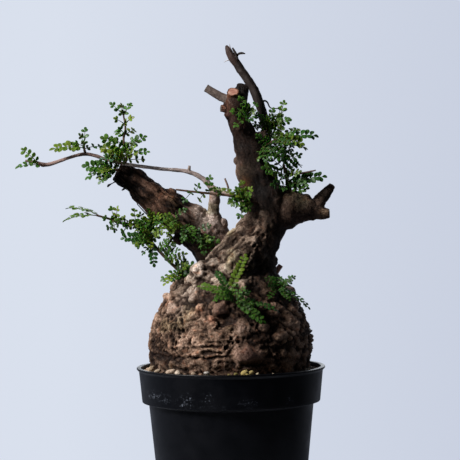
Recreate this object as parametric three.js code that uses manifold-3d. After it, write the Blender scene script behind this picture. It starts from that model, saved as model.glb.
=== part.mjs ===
// Operculicarya pachypus bonsai in a round plastic nursery pot. Millimetres, +Z up.
// The origin is the middle of the pot's underside. +X is the side of the short right branch,
// -X the side of the long twig, and -Y the side that shows the trunk's pink saw cut.
import * as THREE from 'three';
import { mergeVertices } from 'three/addons/utils/BufferGeometryUtils.js';
import Module from 'manifold-3d';

const wasm = await Module();
wasm.setup();

// Driving dimensions of the pot
const potHeight = 130;
const rimRadius = 75;
const collarTopRadius = 73.2;
const collarFootRadius = 70.8;
const collarFootHeight = 102.5;
const bodyTopRadius = 65.6;
const baseRadius = 55.5;
const wall = 1.6;
const collarStep = 1;
const lipFlare = 3;
const lipThickness = 1.4;
const floorThickness = 2;
const potSides = 32;
const drainHoles = 6;
const drainHoleRadius = 4.5;
const drainCircleRadius = 42;
const drainHoleSides = 10;

// Driving dimensions of the soil, the wood and the leaves
const fit = 0.3;
const soilEdgeHeight = 125.5;
const soilMiddleHeight = 128.5;
const soilSlopeWidth = 9;
const pebbleCount = 16;
const pebbleSizes = [2.4, 3.8];
const pebbleInset = 5.4;
const bladeThickness = 0.6;
const ribHalfWidth = 0.45;
const leafletSpacing = 6.5;
const mostPairs = 3;
const holeClearance = 1.5;
const holeSides = 22;

// Proportions of a leaf as shares of its length, with the shortest and the longest leaflet
const stalkShare = 0.14;
const bladeShare = 0.84;
const leafletShare = 0.24;
const shortestLeaflet = 2.6;
const longestLeaflet = 5;
const archShare = 0.3;

// A small seeded generator, so that every build places the pebbles alike
function seeded(seed) {
  let state = seed;
  return () => {
    state = (state * 1664525 + 1013904223) % 4294967296;
    return state / 4294967296;
  };
}

// Turns a closed three.js geometry into a solid for joining and cutting
function toSolid(geometry) {
  const bare = geometry.index ? geometry.toNonIndexed() : geometry.clone();
  bare.deleteAttribute('normal');
  bare.deleteAttribute('uv');
  const merged = mergeVertices(bare, 1e-4);
  return new wasm.Manifold(new wasm.Mesh({
    numProp: 3,
    vertProperties: new Float32Array(merged.attributes.position.array),
    triVerts: new Uint32Array(merged.index.array),
  }));
}

// Turns a joined solid back into a three.js geometry
function toGeometry(solid) {
  const mesh = solid.getMesh();
  const geometry = new THREE.BufferGeometry();
  geometry.setAttribute('position', new THREE.BufferAttribute(mesh.vertProperties, 3));
  geometry.setIndex(new THREE.BufferAttribute(mesh.triVerts, 1));
  geometry.computeVertexNormals();
  return geometry;
}

// The largest of the bodies that a cut leaves
function largestBody(solid) {
  const bodies = solid.decompose();
  return bodies.reduce((best, body) => (body.volume() > best.volume() ? body : best));
}

function vector([x, y, z]) {
  return new THREE.Vector3(x, y, z);
}

// A piece of wood carried along a smooth path: each point is x, y, z and the radius there.
// A sinus relief of low lumps runs round and along it, and the ends are cut flat.
function limb(points, { sides = 10, stepLength = 6, grow = 0, relief = 0 } = {}) {
  const path = new THREE.CatmullRomCurve3(points.map(vector), false, 'centripetal');
  const length = path.getLength();
  const steps = Math.max(2, Math.round(length / stepLength));
  const frames = path.computeFrenetFrames(steps, false);
  const geometry = new THREE.CylinderGeometry(1, 1, 1, sides, steps);
  const position = geometry.attributes.position;
  for (let i = 0; i < position.count; i += 1) {
    const across = new THREE.Vector2(position.getX(i), position.getZ(i));
    const along = position.getY(i) + 0.5;
    const step = Math.round(along * steps);
    const station = path.getUtoTmapping(along) * (points.length - 1);
    const before = Math.min(Math.floor(station), points.length - 2);
    const radius = THREE.MathUtils.lerp(points[before][3], points[before + 1][3], station - before);
    const turn = Math.atan2(across.y, across.x);
    const travel = along * length;
    const lumps = Math.sin(3 * turn + travel * 0.31) * Math.sin(2 * turn - travel * 0.47);
    const reach = across.length() * (radius + grow + relief * lumps);
    const end = Number(step === steps) - Number(step === 0);
    const place = path.getPointAt(along);
    place.addScaledVector(path.getTangentAt(along), grow * end);
    place.addScaledVector(frames.normals[step], reach * Math.cos(turn));
    place.addScaledVector(frames.binormals[step], -reach * Math.sin(turn));
    position.setXYZ(i, place.x, place.y, place.z);
  }
  return toSolid(geometry);
}

// Levels of the caudex from its crown to its root tip: height, left, right, front, back
const caudexLevels = [
  [215, 6, 14, -4, 4],
  [212.5, -12, 26, -14, 15],
  [207, -31, 33, -26, 26],
  [199, -41, 40, -36, 36],
  [188, -49, 50, -45, 45],
  [177, -56, 57, -52, 53],
  [165, -61, 61, -57.5, 58],
  [153, -64, 64.5, -60.5, 61],
  [141, -65, 64, -61, 61],
  [129, -62.5, 61, -59.5, 59],
  [116, -56, 55, -54, 54],
  [104, -42, 41, -41, 41],
  [100, -1, 1, -1, 1],
];

// Knobs and hollows of the caudex: x, y, z of the middle, width, and height (hollows below zero)
const caudexKnobs = [
  [-52, -18, 183, 5, 4],
  [-10, -48, 181, 6, 3.5],
  [-6, -54, 171, 6, -5],
  [12, -46, 187, 5, 3.5],
  [10, -40, 197, 5, 3],
  [9, -61, 139, 9, 3.5],
  [-20, -40, 191, 8, 3],
  [-36, -42, 166, 9, 2.5],
  [-30, -52, 148, 8, -2],
  [38, -42, 158, 9, 2.5],
  [47, -12, 192, 8, 2.5],
  [-38, 4, 200, 8, 2.5],
  [20, 57, 150, 11, 3.5],
  [-32, 48, 162, 9, 3],
  [-8, 60, 136, 9, -3],
  [40, 42, 172, 9, 3],
  [-50, 32, 140, 9, 3],
  [5, 40, 192, 9, 3],
];
const furrow = { x: 2, width: 3.5, depth: 3, bottom: 128, top: 168 };
const heart = new THREE.Vector3(2, 0, 150);
const wartHeight = 2;
const wartsRound = 11;
const wartSpacing = 2 * Math.PI * 3.8;
const wartFade = [130, 138];

// One level of the caudex between two listed ones, with the five values blended smoothly
function caudexLevel(share) {
  const station = share * (caudexLevels.length - 1);
  const at = Math.min(Math.floor(station), caudexLevels.length - 2);
  const t = station - at;
  const rows = [at - 1, at, at + 1, at + 2].map(
    (row) => caudexLevels[THREE.MathUtils.clamp(row, 0, caudexLevels.length - 1)],
  );
  return rows[0].map((_, k) => {
    const [a, b, c, d] = rows.map((row) => row[k]);
    return b + 0.5 * t * (c - a + t * (2 * a - 5 * b + 4 * c - d + t * (3 * (b - c) + d - a)));
  });
}

// Warty relief of the caudex: two crossed waves round and up it, strongest above the soil
function warts(turn, z) {
  const round = Math.sin(wartsRound * turn + 2.2 * Math.sin(z / 8));
  const up = Math.sin(2 * Math.PI * z / wartSpacing + 2 * Math.sin(3 * turn));
  return wartHeight * round * up * THREE.MathUtils.smoothstep(z, ...wartFade);
}

// The swollen caudex: a ball carried onto the levels, then pushed out and in by its knobs,
// its front furrow and a warty relief
function caudex(grow = 0, sides = 44, rows = 24) {
  const geometry = new THREE.SphereGeometry(1, sides, rows);
  const position = geometry.attributes.position;
  for (let i = 0; i < position.count; i += 1) {
    const ball = new THREE.Vector3().fromBufferAttribute(position, i);
    const share = Math.acos(THREE.MathUtils.clamp(ball.y, -1, 1)) / Math.PI;
    const turn = Math.atan2(ball.z, ball.x);
    const [z, left, right, front, back] = caudexLevel(share);
    const pole = Math.hypot(ball.x, ball.z) < 1e-6 ? 0 : 1;
    const place = new THREE.Vector3(
      (left + right) / 2 + pole * (right - left) / 2 * Math.cos(turn),
      (front + back) / 2 - pole * (back - front) / 2 * Math.sin(turn),
      z,
    );
    let push = grow + pole * warts(turn, z);
    for (const [x, y, height, width, rise] of caudexKnobs) {
      const away = place.distanceTo(new THREE.Vector3(x, y, height));
      push += rise * Math.exp(-((away / width) ** 2));
    }
    if (place.y < 0 && place.z > furrow.bottom && place.z < furrow.top) {
      push -= furrow.depth * Math.exp(-((place.x - furrow.x) ** 2) / furrow.width ** 2);
    }
    place.addScaledVector(place.clone().sub(heart).normalize(), push);
    position.setXYZ(i, place.x, place.y, place.z);
  }
  return toSolid(geometry);
}

// The trunk, the ridge that climbs to it, the branches and their sawn stubs: x, y, z, radius
const trunk = [
  [22, -2, 188, 18], [21, -3, 209, 14.5], [22, -3, 222, 14.5], [26, -2, 236, 16.5], [31, -1, 250, 16],
  [30, -1, 263, 14.5], [23.5, -2, 278, 13.3], [19.5, -3, 288, 12.2], [17, -4, 299, 11.2],
  [12, -5, 312, 9.2], [7.5, -6, 325, 8], [5, -7, 336, 8.2], [4.5, -7, 343, 6.5], [4.5, -7, 346, 3],
];
const ridge = [
  [-28, -22, 195, 7], [-21, -22, 203, 9.5], [-10, -18, 212, 9.5], [1, -13, 224, 9.5],
  [11, -8, 234, 9.5], [21, -4, 245, 9],
];
const flank = [
  [-10, -26, 196, 9], [2, -22, 207, 12.5], [14, -14, 220, 13.5], [23, -8, 233, 13], [27, -4, 245, 12],
];
const leftBranch = [
  [3, 16, 200, 17], [-2, 18, 210, 17], [-15, 18, 227, 16.5], [-27, 17, 239, 15.5], [-39, 15, 249, 14.3],
  [-51, 13, 258, 12.7], [-63, 11, 267.5, 11.1], [-75, 9, 277.3, 9.6], [-88.5, 7, 286, 8.8],
];
const rightBranch = [
  [26, 0, 244, 14], [39, 1, 251, 15], [50, 1, 255, 15.3], [60, 0, 254.5, 10.8],
  [68, 0, 252, 7], [74, -1, 251, 4.8], [80, -2, 251, 3.4],
];
const rightHorn = [[66, 1, 252, 6], [72.5, 1, 261, 5], [79, 2, 268, 3.7], [83, 2, 273, 2.6]];
const branchPost = [[-12, 15, 244, 6.5], [-12, 14, 258, 4.3], [-11, 13, 269, 3.4]];
const pinkStub = [[5, -5, 337, 6.5], [4.6, -9, 343, 5.4], [4, -13.5, 347.5, 4.5]];
const darkKnob = [[7, -4, 336, 6.5], [10, -2, 345, 5.6], [10, -1, 351, 4.6], [9.5, -1, 354, 2]];
const sideStub = [[4, -7, 340, 4.5], [-2, -7, 342.5, 3.6], [-9, -8, 346, 3.2], [-17, -9, 351, 2.9]];
const paleStub = [[13, -5, 309, 5], [22, -6, 312, 3.8], [30.5, -8, 313.5, 3.3]];
const redStub = [[32, 9, 198, 3], [37, 10, 204, 2.4], [41, 10, 209.5, 2]];
const deadStick = [
  [18, 2, 296, 5], [27, 8, 304, 4.6], [31, 12, 314, 4.2], [28, 15, 331, 3.7], [24.5, 17, 342, 3.7],
  [21, 18, 351, 3.6], [16.5, 19, 358.5, 3.5], [11, 20, 366.5, 3.4], [5, 21, 376, 2.9], [1.5, 22, 382, 1.9],
];
const stickSplinter = [[9, 20.5, 371, 1.6], [7, 21, 377, 1], [9, 21, 380, 0.7], [11.5, 21, 379.5, 0.5]];
const longTwig = [
  [-11, 13, 267, 2.9], [-15, 12, 274, 2.6], [-23, 11, 281, 2.2], [-32.5, 10, 285.2, 2], [-45, 9, 286.8, 1.7],
  [-59, 7, 288.3, 1.5], [-72, 4, 290.2, 1.4], [-84.5, 1, 292.2, 1.4], [-98.5, -2, 296.2, 1.4],
  [-112.5, -4, 300, 1.4], [-127, -5, 297, 1.3], [-143.5, -6, 292, 1.6], [-152, -7, 293.8, 1.3],
  [-160.5, -8, 295.3, 0.9],
];
const twigThorn = [[-32, 10, 285, 1.6], [-31, 10, 290, 1]];

// Lumps that stand out of the limbs: x, y, z, radius
const largeKnob = 5.1;
const limbKnobs = [
  [61, -2, 261, 5.2], [34.5, -2, 214, 4], [4, 12, 232, 4.5], [-40, 13, 232, 5], [-2, -7, 333, 2.6],
  [8, -3, 291, 2.2], [11.5, -5, 281, 2.2], [44, 1, 266, 6], [74, 0, 247.5, 2.5], [-6, 14, 243, 3.5],
];

// One lump; the large ones are rounder
function knob([x, y, z, radius], grow) {
  const geometry = new THREE.IcosahedronGeometry(radius + grow, radius > largeKnob ? 1 : 0);
  geometry.translate(x, y, z);
  return toSolid(geometry);
}

// All the wood as one grown piece; grow thickens it evenly, for cutting what stands against it
function plantWood(grow = 0) {
  return wasm.Manifold.union([
    caudex(grow),
    limb(trunk, { sides: 14, stepLength: 7, grow, relief: 1.2 }),
    limb(ridge, { sides: 12, stepLength: 7, grow, relief: 1.4 }),
    limb(flank, { sides: 12, stepLength: 8, grow, relief: 1 }),
    limb(leftBranch, { sides: 13, stepLength: 7.5, grow, relief: 1.3 }),
    limb(rightBranch, { sides: 12, stepLength: 7, grow, relief: 0.9 }),
    limb(rightHorn, { sides: 8, grow, relief: 0.4 }),
    limb(branchPost, { sides: 8, stepLength: 9, grow, relief: 0.3 }),
    limb(pinkStub, { sides: 10, grow }),
    limb(darkKnob, { sides: 9, grow }),
    limb(sideStub, { sides: 8, grow }),
    limb(paleStub, { sides: 7, stepLength: 9, grow }),
    limb(redStub, { sides: 6, grow }),
    limb(deadStick, { sides: 7, stepLength: 9, grow, relief: 0.3 }),
    limb(stickSplinter, { sides: 5, stepLength: 3, grow }),
    limb(longTwig, { sides: 5, stepLength: 9, grow }),
    limb(twigThorn, { sides: 5, grow }),
    ...limbKnobs.map((lump) => knob(lump, grow)),
  ]);
}

// The pot's outer or inner half profile, from the floor up to the foot of the lip
function potProfile(inset, floor) {
  const lean = (height) => baseRadius + (bodyTopRadius - baseRadius) * height / collarFootHeight;
  return [
    [lean(floor) - inset, floor],
    [bodyTopRadius - inset, collarFootHeight + inset - collarStep],
    [collarFootRadius - inset, collarFootHeight + inset],
    [collarTopRadius - inset, potHeight - lipFlare],
  ];
}

function turned(profile, sides) {
  const geometry = new THREE.LatheGeometry(profile.map(([r, z]) => new THREE.Vector2(r, z)), sides);
  geometry.rotateX(Math.PI / 2);
  return toSolid(geometry);
}

// The pot: turned wall, collar and flared lip, with a ring of drain holes through its floor
function pot() {
  const outside = potProfile(0, 0);
  const inside = potProfile(wall, floorThickness).reverse();
  let solid = turned([
    [0, 0],
    ...outside,
    [rimRadius, potHeight - lipThickness],
    [rimRadius, potHeight],
    [collarTopRadius - wall, potHeight],
    ...inside,
    [0, floorThickness],
  ], potSides);
  for (let i = 0; i < drainHoles; i += 1) {
    const depth = 3 * floorThickness;
    const hole = new THREE.CylinderGeometry(drainHoleRadius, drainHoleRadius, depth, drainHoleSides);
    hole.rotateX(Math.PI / 2);
    hole.translate(drainCircleRadius, 0, floorThickness / 2);
    hole.rotateZ(2 * Math.PI * i / drainHoles);
    solid = solid.subtract(toSolid(hole));
  }
  return solid;
}

// The soil fills the pot and stands a little proud round the caudex, with gravel on top
function soil() {
  const inset = wall + fit;
  const reach = collarTopRadius - inset;
  const random = seeded(7);
  const parts = [turned([
    [0, floorThickness + fit],
    [baseRadius - inset, floorThickness + fit],
    [bodyTopRadius - inset, collarFootHeight + inset - collarStep],
    [collarFootRadius - inset, collarFootHeight + inset],
    [reach - 0.4, soilEdgeHeight],
    [reach - soilSlopeWidth, soilMiddleHeight],
    [0, soilMiddleHeight],
  ], potSides)];
  for (let i = 0; i < pebbleCount; i += 1) {
    const size = THREE.MathUtils.lerp(...pebbleSizes, random());
    const pebble = new THREE.IcosahedronGeometry(size, 0);
    pebble.rotateX(Math.PI * random());
    pebble.scale(1.15, 1, 0.75);
    pebble.rotateZ(Math.PI * random());
    const turn = 2 * Math.PI * (i + 0.5 * random()) / pebbleCount;
    const distance = reach - pebbleInset - 0.5 * random();
    const height = soilMiddleHeight + 0.6 * random();
    pebble.translate(distance * Math.cos(turn), distance * Math.sin(turn), height);
    parts.push(toSolid(pebble));
  }
  return largestBody(wasm.Manifold.union(parts).subtract(caudex(holeClearance, holeSides)));
}

// One pinnate leaf from its root to its tip: a thin blade cut to the rib between its leaflets,
// arched along the rib, with its face turned by so many degrees from -Y towards +Z
function leaf(root, tip, turn) {
  const length = root.distanceTo(tip);
  const room = bladeShare * length - shortestLeaflet;
  const pairs = THREE.MathUtils.clamp(Math.round(room / leafletSpacing), 1, mostPairs);
  const stalk = length * stalkShare;
  const spacing = (length * bladeShare - stalk) / (pairs + 0.3);
  const reach = THREE.MathUtils.clamp(length * leafletShare, shortestLeaflet, longestLeaflet);
  const half = spacing * 0.36;
  const lean = reach * 0.35;
  const edge = [];
  for (let i = 0; i < pairs; i += 1) {
    const middle = stalk + spacing * (i + 0.5);
    edge.push([middle - half * 0.45, ribHalfWidth]);
    edge.push([middle - half + lean * 0.7, ribHalfWidth + reach * 0.75]);
    edge.push([middle + half + lean, ribHalfWidth + reach]);
    edge.push([middle + half * 0.45, ribHalfWidth]);
  }
  const outline = [[0, ribHalfWidth], ...edge, [length - reach * 0.5, half]];
  const shape = new THREE.Shape([
    ...outline.map(([x, y]) => new THREE.Vector2(x, y)),
    new THREE.Vector2(length, 0),
    ...outline.reverse().map(([x, y]) => new THREE.Vector2(x, -y)),
  ]);
  const geometry = new THREE.ExtrudeGeometry(shape, { depth: bladeThickness, bevelEnabled: false });
  const position = geometry.attributes.position;
  for (let i = 0; i < position.count; i += 1) {
    const share = position.getX(i) / length;
    const arch = archShare * length * share * (1 - share);
    position.setZ(i, position.getZ(i) - bladeThickness / 2 + arch);
  }
  const along = tip.clone().sub(root).normalize();
  const front = new THREE.Vector3(0, -1, 0);
  front.addScaledVector(along, -front.dot(along)).normalize();
  const upper = new THREE.Vector3().crossVectors(along, front);
  upper.multiplyScalar(upper.z < 0 ? -1 : 1);
  const angle = THREE.MathUtils.degToRad(turn);
  const face = front.multiplyScalar(Math.cos(angle)).addScaledVector(upper, Math.sin(angle));
  const side = new THREE.Vector3().crossVectors(face, along);
  geometry.applyMatrix4(new THREE.Matrix4().makeBasis(along, side, face).setPosition(root));
  return toSolid(geometry);
}

// The leafy sprays. A shoot is a path of x, y, z and radius. A leaf is its place on the shoot
// (0 at the foot, 1 at the end), its tip x, y, z, and the turn of its face in degrees.
const sprays = {
  twig_tip_spray: {
    shoot: [[-144, -6, 292, 1], [-147, -9, 291, 0.9], [-150, -10.5, 293.5, 0.7]],
    leaves: [[0.95, -164, -13, 306, 10], [0.5, -168.5, -14, 290.5, 65]],
  },
  twig_bend_spray: {
    shoot: [[-113, -4, 300, 1], [-114, -5, 304, 0.9], [-114, -5, 307, 0.7]],
    leaves: [[0.9, -113, -3, 322, 5], [0.7, -141, -10, 304.5, 45], [0.6, -99, 2, 306.5, 40]],
  },
  left_crown_spray: {
    shoot: [
      [-83, 1, 292, 1.2], [-80.5, 0, 297, 1.1], [-83, -1, 311, 0.9], [-81.5, 0, 320, 0.8],
      [-83, 2, 331, 0.6],
    ],
    leaves: [
      [0.98, -93.5, -2, 341, 25], [1, -85, 6, 341, 50], [0.97, -77, 7, 341, 30], [0.8, -90, -8, 328.5, 20],
      [0.82, -74.5, -7, 329, 30], [0.55, -91, 8, 319, 30], [0.58, -74, 9, 320, 10],
      [0.22, -101.5, -6, 314, 15], [0.17, -103, 8, 305.5, 35], [0.25, -71, 9, 312, 15],
      [0.3, -64, 2, 315, 20], [0.15, -61, -5, 302, 50], [0.08, -65, 8, 295.5, 25],
    ],
  },
  left_crown_low_spray: {
    shoot: [[-86, 4, 286, 1.2], [-88, -3, 287, 1.1], [-93, -5, 287.5, 0.8]],
    leaves: [
      [0.7, -114.5, -4, 281, 60], [0.95, -116, -9, 291, 15], [0.9, -108, 6, 288, 35],
      [0.6, -87, -14, 278, 10],
    ],
  },
  long_left_spray: {
    shoot: [
      [-58, 8, 250, 1.3], [-63.5, 3, 243.5, 1.2], [-72, 0, 243.7, 1.1], [-84, -4, 244.5, 1],
      [-95, -6, 248.5, 0.9], [-105, -8, 251.5, 0.7],
    ],
    leaves: [
      [0.97, -128.5, -14, 247.5, 50], [0.93, -121, -4, 262, 60], [0.68, -88, -12, 259, 30],
      [0.62, -99, 4, 240, 30], [0.4, -76, 6, 257.5, 20], [0.3, -70, -14, 254, 35],
    ],
  },
  left_shoulder_spray: {
    shoot: [
      [-34, -8, 199, 1.4], [-39.5, -8, 206, 1.3], [-49.5, -8, 216, 1.2], [-59, -6.5, 226.5, 1.1],
      [-64, -6, 234, 0.8],
    ],
    leaves: [
      [0.97, -86.5, -12, 233, 25], [0.93, -78, 5, 229.5, 20], [0.9, -59.5, -9, 209.5, 0],
      [0.98, -50, -14, 238, 30], [0.6, -46.5, -18, 226.5, 10], [0.45, -33, -16, 221, 15],
      [0.2, -55.5, -14, 199, 40], [0.15, -53, -23, 196.5, 60], [0.25, -32.5, -24, 212, 20],
    ],
  },
  branch_front_spray: {
    shoot: [
      [-48, 8, 252, 1.2], [-44, -3, 250, 1.1], [-36, -6, 244, 1], [-26, -8, 238, 0.9], [-18, -8, 233, 0.7],
    ],
    leaves: [
      [0.25, -58, -10, 246, 40], [0.3, -33, -9, 256, 30], [0.5, -50, -13, 236, 20],
      [0.65, -38, -15, 228.5, 15], [0.8, -14, -12, 243, 30], [0.95, -20, -12, 218, 5],
      [0.97, -7, -14, 228.5, 30],
    ],
  },
  fork_spray: {
    shoot: [[24, -8, 259, 1.4], [18, -17, 260, 1.3], [14, -19, 262, 1]],
    leaves: [
      [1, 9.5, -20, 279, 5], [0.95, -13, -19, 271.5, 75], [0.85, -2, -23, 260, 20], [0.75, 6, -21, 247, 20],
    ],
  },
  thin_twig_spray: {
    shoot: [
      [22, -5, 263, 1.3], [9, -9, 264.5, 1.1], [-3, -8, 266.3, 1], [-16.5, -3, 267.8, 0.9],
      [-31, -2, 269.5, 0.8], [-42, -2, 271, 0.7],
    ],
    leaves: [
      [0.6, -14.5, -6, 283, 10], [0.75, -23.5, -9, 275.5, 30], [0.8, -36.5, -8, 261, 20],
      [0.65, -24.5, 4, 261, 25],
    ],
  },
  stick_foot_spray: {
    shoot: [[30, 9, 315, 1.1], [32, 4, 319, 1.1], [38, 7, 321, 1], [41.5, 9, 326, 0.8]],
    leaves: [
      [0.35, 36.5, 1, 336, 20], [0.25, 21, 0, 331, 25], [1, 45.5, 11, 342.5, 5], [0.6, 42, 20, 333, 40],
      [0.5, 50, -2, 327, 30],
    ],
  },
  trunk_right_spray: {
    shoot: [[20, -2, 300, 1.3], [29, -9, 304, 1.2], [36, -8, 308.5, 1.1], [44, -6, 311, 0.9]],
    leaves: [
      [0.95, 72, -6, 312.5, 45], [0.9, 58, 5, 319.5, 55], [0.75, 61, -14, 305.5, 40],
      [0.7, 64, 4, 302.5, 60], [0.4, 31.5, -16, 289, 10], [0.5, 44, -16, 292, 20],
    ],
  },
  right_branch_spray: {
    shoot: [[47, 1, 264, 1.4], [47, 0, 274, 1.2], [45.5, -1, 284, 1.1], [43.5, -2, 290, 0.8]],
    leaves: [
      [1, 59, -9, 299, 20], [0.85, 60, 8, 290, 40], [0.8, 33, 6, 296, 20], [0.4, 78.5, -5, 280.5, 35],
      [0.3, 60, -12, 268.5, 30], [0.65, 56, -14, 283, 30], [0.6, 26, -18, 288, 40],
    ],
  },
  caudex_front_spray: {
    shoot: [[5, -40, 181, 1.4], [4.5, -53, 184, 1.3], [2, -54, 188, 1.2], [-1, -51, 192, 0.9]],
    leaves: [
      [0.8, -26, -46, 197, 45], [1, -11, -45, 209, 20], [0.95, 13, -38, 221, 5], [0.65, 27.5, -60, 168, 15],
      [0.6, 38, -54, 177, 60], [0.7, 16, -58, 193, 30],
    ],
  },
  caudex_right_spray: {
    shoot: [[33, -20, 192, 1.3], [37, -29, 193, 1.2], [40, -32, 194, 0.8]],
    leaves: [
      [0.9, 52, -28, 203, 5], [0.8, 47, -41, 184, 30], [0.6, 30, -40, 186, 20], [0.7, 34, -38, 203, 20],
    ],
  },
  trunk_top_spray: {
    shoot: [[11, -6, 327, 1.2], [16, -13, 327.5, 1.1], [15.5, -16, 332, 0.8]],
    leaves: [
      [0.6, 4, -20, 319.5, 25], [0.8, 1, -20, 332.5, 30], [1, 9, -19, 344, 15], [0.95, 24, -14, 339, 30],
    ],
  },
};

// A spray's shoot and leaves as one piece, trimmed clear of the bark that it grows from
function spray({ shoot, leaves }, woodCutter) {
  const path = new THREE.CatmullRomCurve3(shoot.map(vector), false, 'centripetal');
  const parts = leaves.map(([at, x, y, z, turn]) => {
    const tip = new THREE.Vector3(x, y, z);
    return leaf(path.getPointAt(at), tip, turn);
  });
  parts.push(limb(shoot, { sides: 4, stepLength: 7 }));
  return largestBody(wasm.Manifold.union(parts).subtract(woodCutter));
}

const bark = new THREE.MeshStandardMaterial({ color: 0x7a6552, roughness: 0.85, metalness: 0 });
const blackPlastic = new THREE.MeshStandardMaterial({ color: 0x0f1012, roughness: 0.5, metalness: 0 });
const gravel = new THREE.MeshStandardMaterial({ color: 0xb59a72, roughness: 0.9, metalness: 0 });
const foliage = new THREE.MeshStandardMaterial({ color: 0x3a6420, roughness: 0.6, metalness: 0 });

function node(name, solid, material) {
  const mesh = new THREE.Mesh(toGeometry(solid), material);
  mesh.name = name;
  return mesh;
}

const bonsai = new THREE.Group();
const woodCutter = plantWood(fit);
bonsai.add(node('pot', pot(), blackPlastic));
bonsai.add(node('soil', soil(), gravel));
bonsai.add(node('wood', plantWood(), bark));
for (const [name, parts] of Object.entries(sprays)) {
  bonsai.add(node(name, spray(parts, woodCutter), foliage));
}

export default bonsai;
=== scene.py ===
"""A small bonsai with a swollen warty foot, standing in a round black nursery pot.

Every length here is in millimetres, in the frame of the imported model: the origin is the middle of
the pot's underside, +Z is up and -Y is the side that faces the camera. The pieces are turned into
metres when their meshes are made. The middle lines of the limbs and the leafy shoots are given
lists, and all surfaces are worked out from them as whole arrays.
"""
import math

import bpy
import numpy as np
from mathutils import Matrix


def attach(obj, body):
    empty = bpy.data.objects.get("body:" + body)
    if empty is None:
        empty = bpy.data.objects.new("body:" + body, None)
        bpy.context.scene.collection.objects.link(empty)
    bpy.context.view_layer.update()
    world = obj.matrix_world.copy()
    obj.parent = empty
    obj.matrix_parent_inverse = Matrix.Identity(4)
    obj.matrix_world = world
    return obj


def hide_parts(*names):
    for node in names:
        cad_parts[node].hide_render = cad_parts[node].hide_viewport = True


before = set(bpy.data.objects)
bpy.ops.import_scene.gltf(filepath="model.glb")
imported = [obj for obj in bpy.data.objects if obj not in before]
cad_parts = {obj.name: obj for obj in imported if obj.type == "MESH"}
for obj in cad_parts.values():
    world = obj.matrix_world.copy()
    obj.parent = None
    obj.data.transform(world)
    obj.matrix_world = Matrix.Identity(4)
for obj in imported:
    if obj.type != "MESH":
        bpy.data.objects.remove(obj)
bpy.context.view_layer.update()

MM = 0.001

# The pot
POT_HEIGHT = 130.0
RIM_RADIUS = 75.0
COLLAR_TOP_RADIUS = 73.2
COLLAR_FOOT_RADIUS = 70.8
COLLAR_FOOT_HEIGHT = 102.5
FLARE_DEPTH = 3.0
LIP_DEPTH = 1.4
BODY_TOP_RADIUS = 65.6
BASE_RADIUS = 55.5
WALL = 1.6
FLOOR_THICKNESS = 2.0
DRAIN_HOLES = 6
DRAIN_HOLE_RADIUS = 4.5
DRAIN_CIRCLE_RADIUS = 42.0

# The soil and its gravel
SOIL_EDGE_HEIGHT = 125.5
SOIL_MIDDLE_HEIGHT = 128.5
SOIL_LEVEL_RADIUS = 62
SOIL_FIT = 0.3
GRAVEL_COUNT = 330
GRAVEL_INNER_RADIUS = 60.5
STONE_SIZES = (1.2, 2.9)

# The joining of the thick wood: the size of the cells, how often the joints are softened, and how
# many triangles its skin keeps
JOIN_STEP = 0.85
SOFTENING_ROUNDS = 5
WOOD_TRIANGLES = 192000

# The camera: its place, how far it is tipped down and rolled in degrees, and its long lens
CAMERA_PLACE = (0.6, -1500, 275)
CAMERA_PITCH = 1.4
CAMERA_ROLL = 0.7
CAMERA_LENS = 147.66
FRAME_WIDTH = 36.0


# Camera

def posed(right, up, back, place):
    """The matrix whose columns are three axes and a place in metres."""
    pose = Matrix.Identity(4)
    for column, axis in enumerate((right, up, back)):
        for row in range(3):
            pose[row][column] = axis[row]
    pose.translation = place
    return pose


def aim_camera():
    """The photograph's view: a long lens 1.5 m in front of the plant, tipped down and rolled a little.

    The camera's right and up are the level ones turned by the roll, and it looks along its -Z.
    """
    pitch = math.radians(CAMERA_PITCH)
    roll = math.radians(CAMERA_ROLL)
    right = np.array([1.0, 0.0, 0.0])
    up = np.array([0.0, math.sin(pitch), math.cos(pitch)])
    ahead = np.array([0.0, math.cos(pitch), -math.sin(pitch)])
    turned_right = math.cos(roll) * right - math.sin(roll) * up
    turned_up = math.sin(roll) * right + math.cos(roll) * up
    lens = bpy.data.cameras.new("view_lens")
    lens.lens = CAMERA_LENS
    lens.sensor_width = FRAME_WIDTH
    lens.clip_start = 0.05
    camera = bpy.data.objects.new("view_camera", lens)
    camera.matrix_world = posed(turned_right, turned_up, -ahead, [length * MM for length in CAMERA_PLACE])
    bpy.context.scene.collection.objects.link(camera)
    bpy.context.scene.camera = camera


# Arrays: steps, noise and cells

def unit(vectors):
    """Each vector divided by its own length."""
    return vectors / np.maximum(np.linalg.norm(vectors, axis=-1, keepdims=True), 1e-9)


def step(low, high, values):
    """0 below low and 1 above high, and 3t^2 - 2t^3 of the share t between them."""
    t = np.clip((values - low) / (high - low), 0, 1)
    return t * t * (3 - 2 * t)


def scatter(cells, seed):
    """A random number from 0 to 1 for each whole-number cell: its coordinates times large odd
    numbers are added up, and the sum's bits are folded over each other and multiplied again."""
    whole = cells.astype(np.int64)
    mixed = whole[..., 0] * 374761393 + whole[..., 1] * 668265263 + whole[..., 2] * 2147483647
    mixed = (mixed + seed * 144665 + 12345) & 0xFFFFFFFF
    mixed = ((mixed ^ (mixed >> 13)) * 1274126177) & 0xFFFFFFFF
    mixed = ((mixed ^ (mixed >> 16)) * 2246822519) & 0xFFFFFFFF
    return ((mixed ^ (mixed >> 13)) & 0xFFFFFF) / 0xFFFFFF


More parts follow.
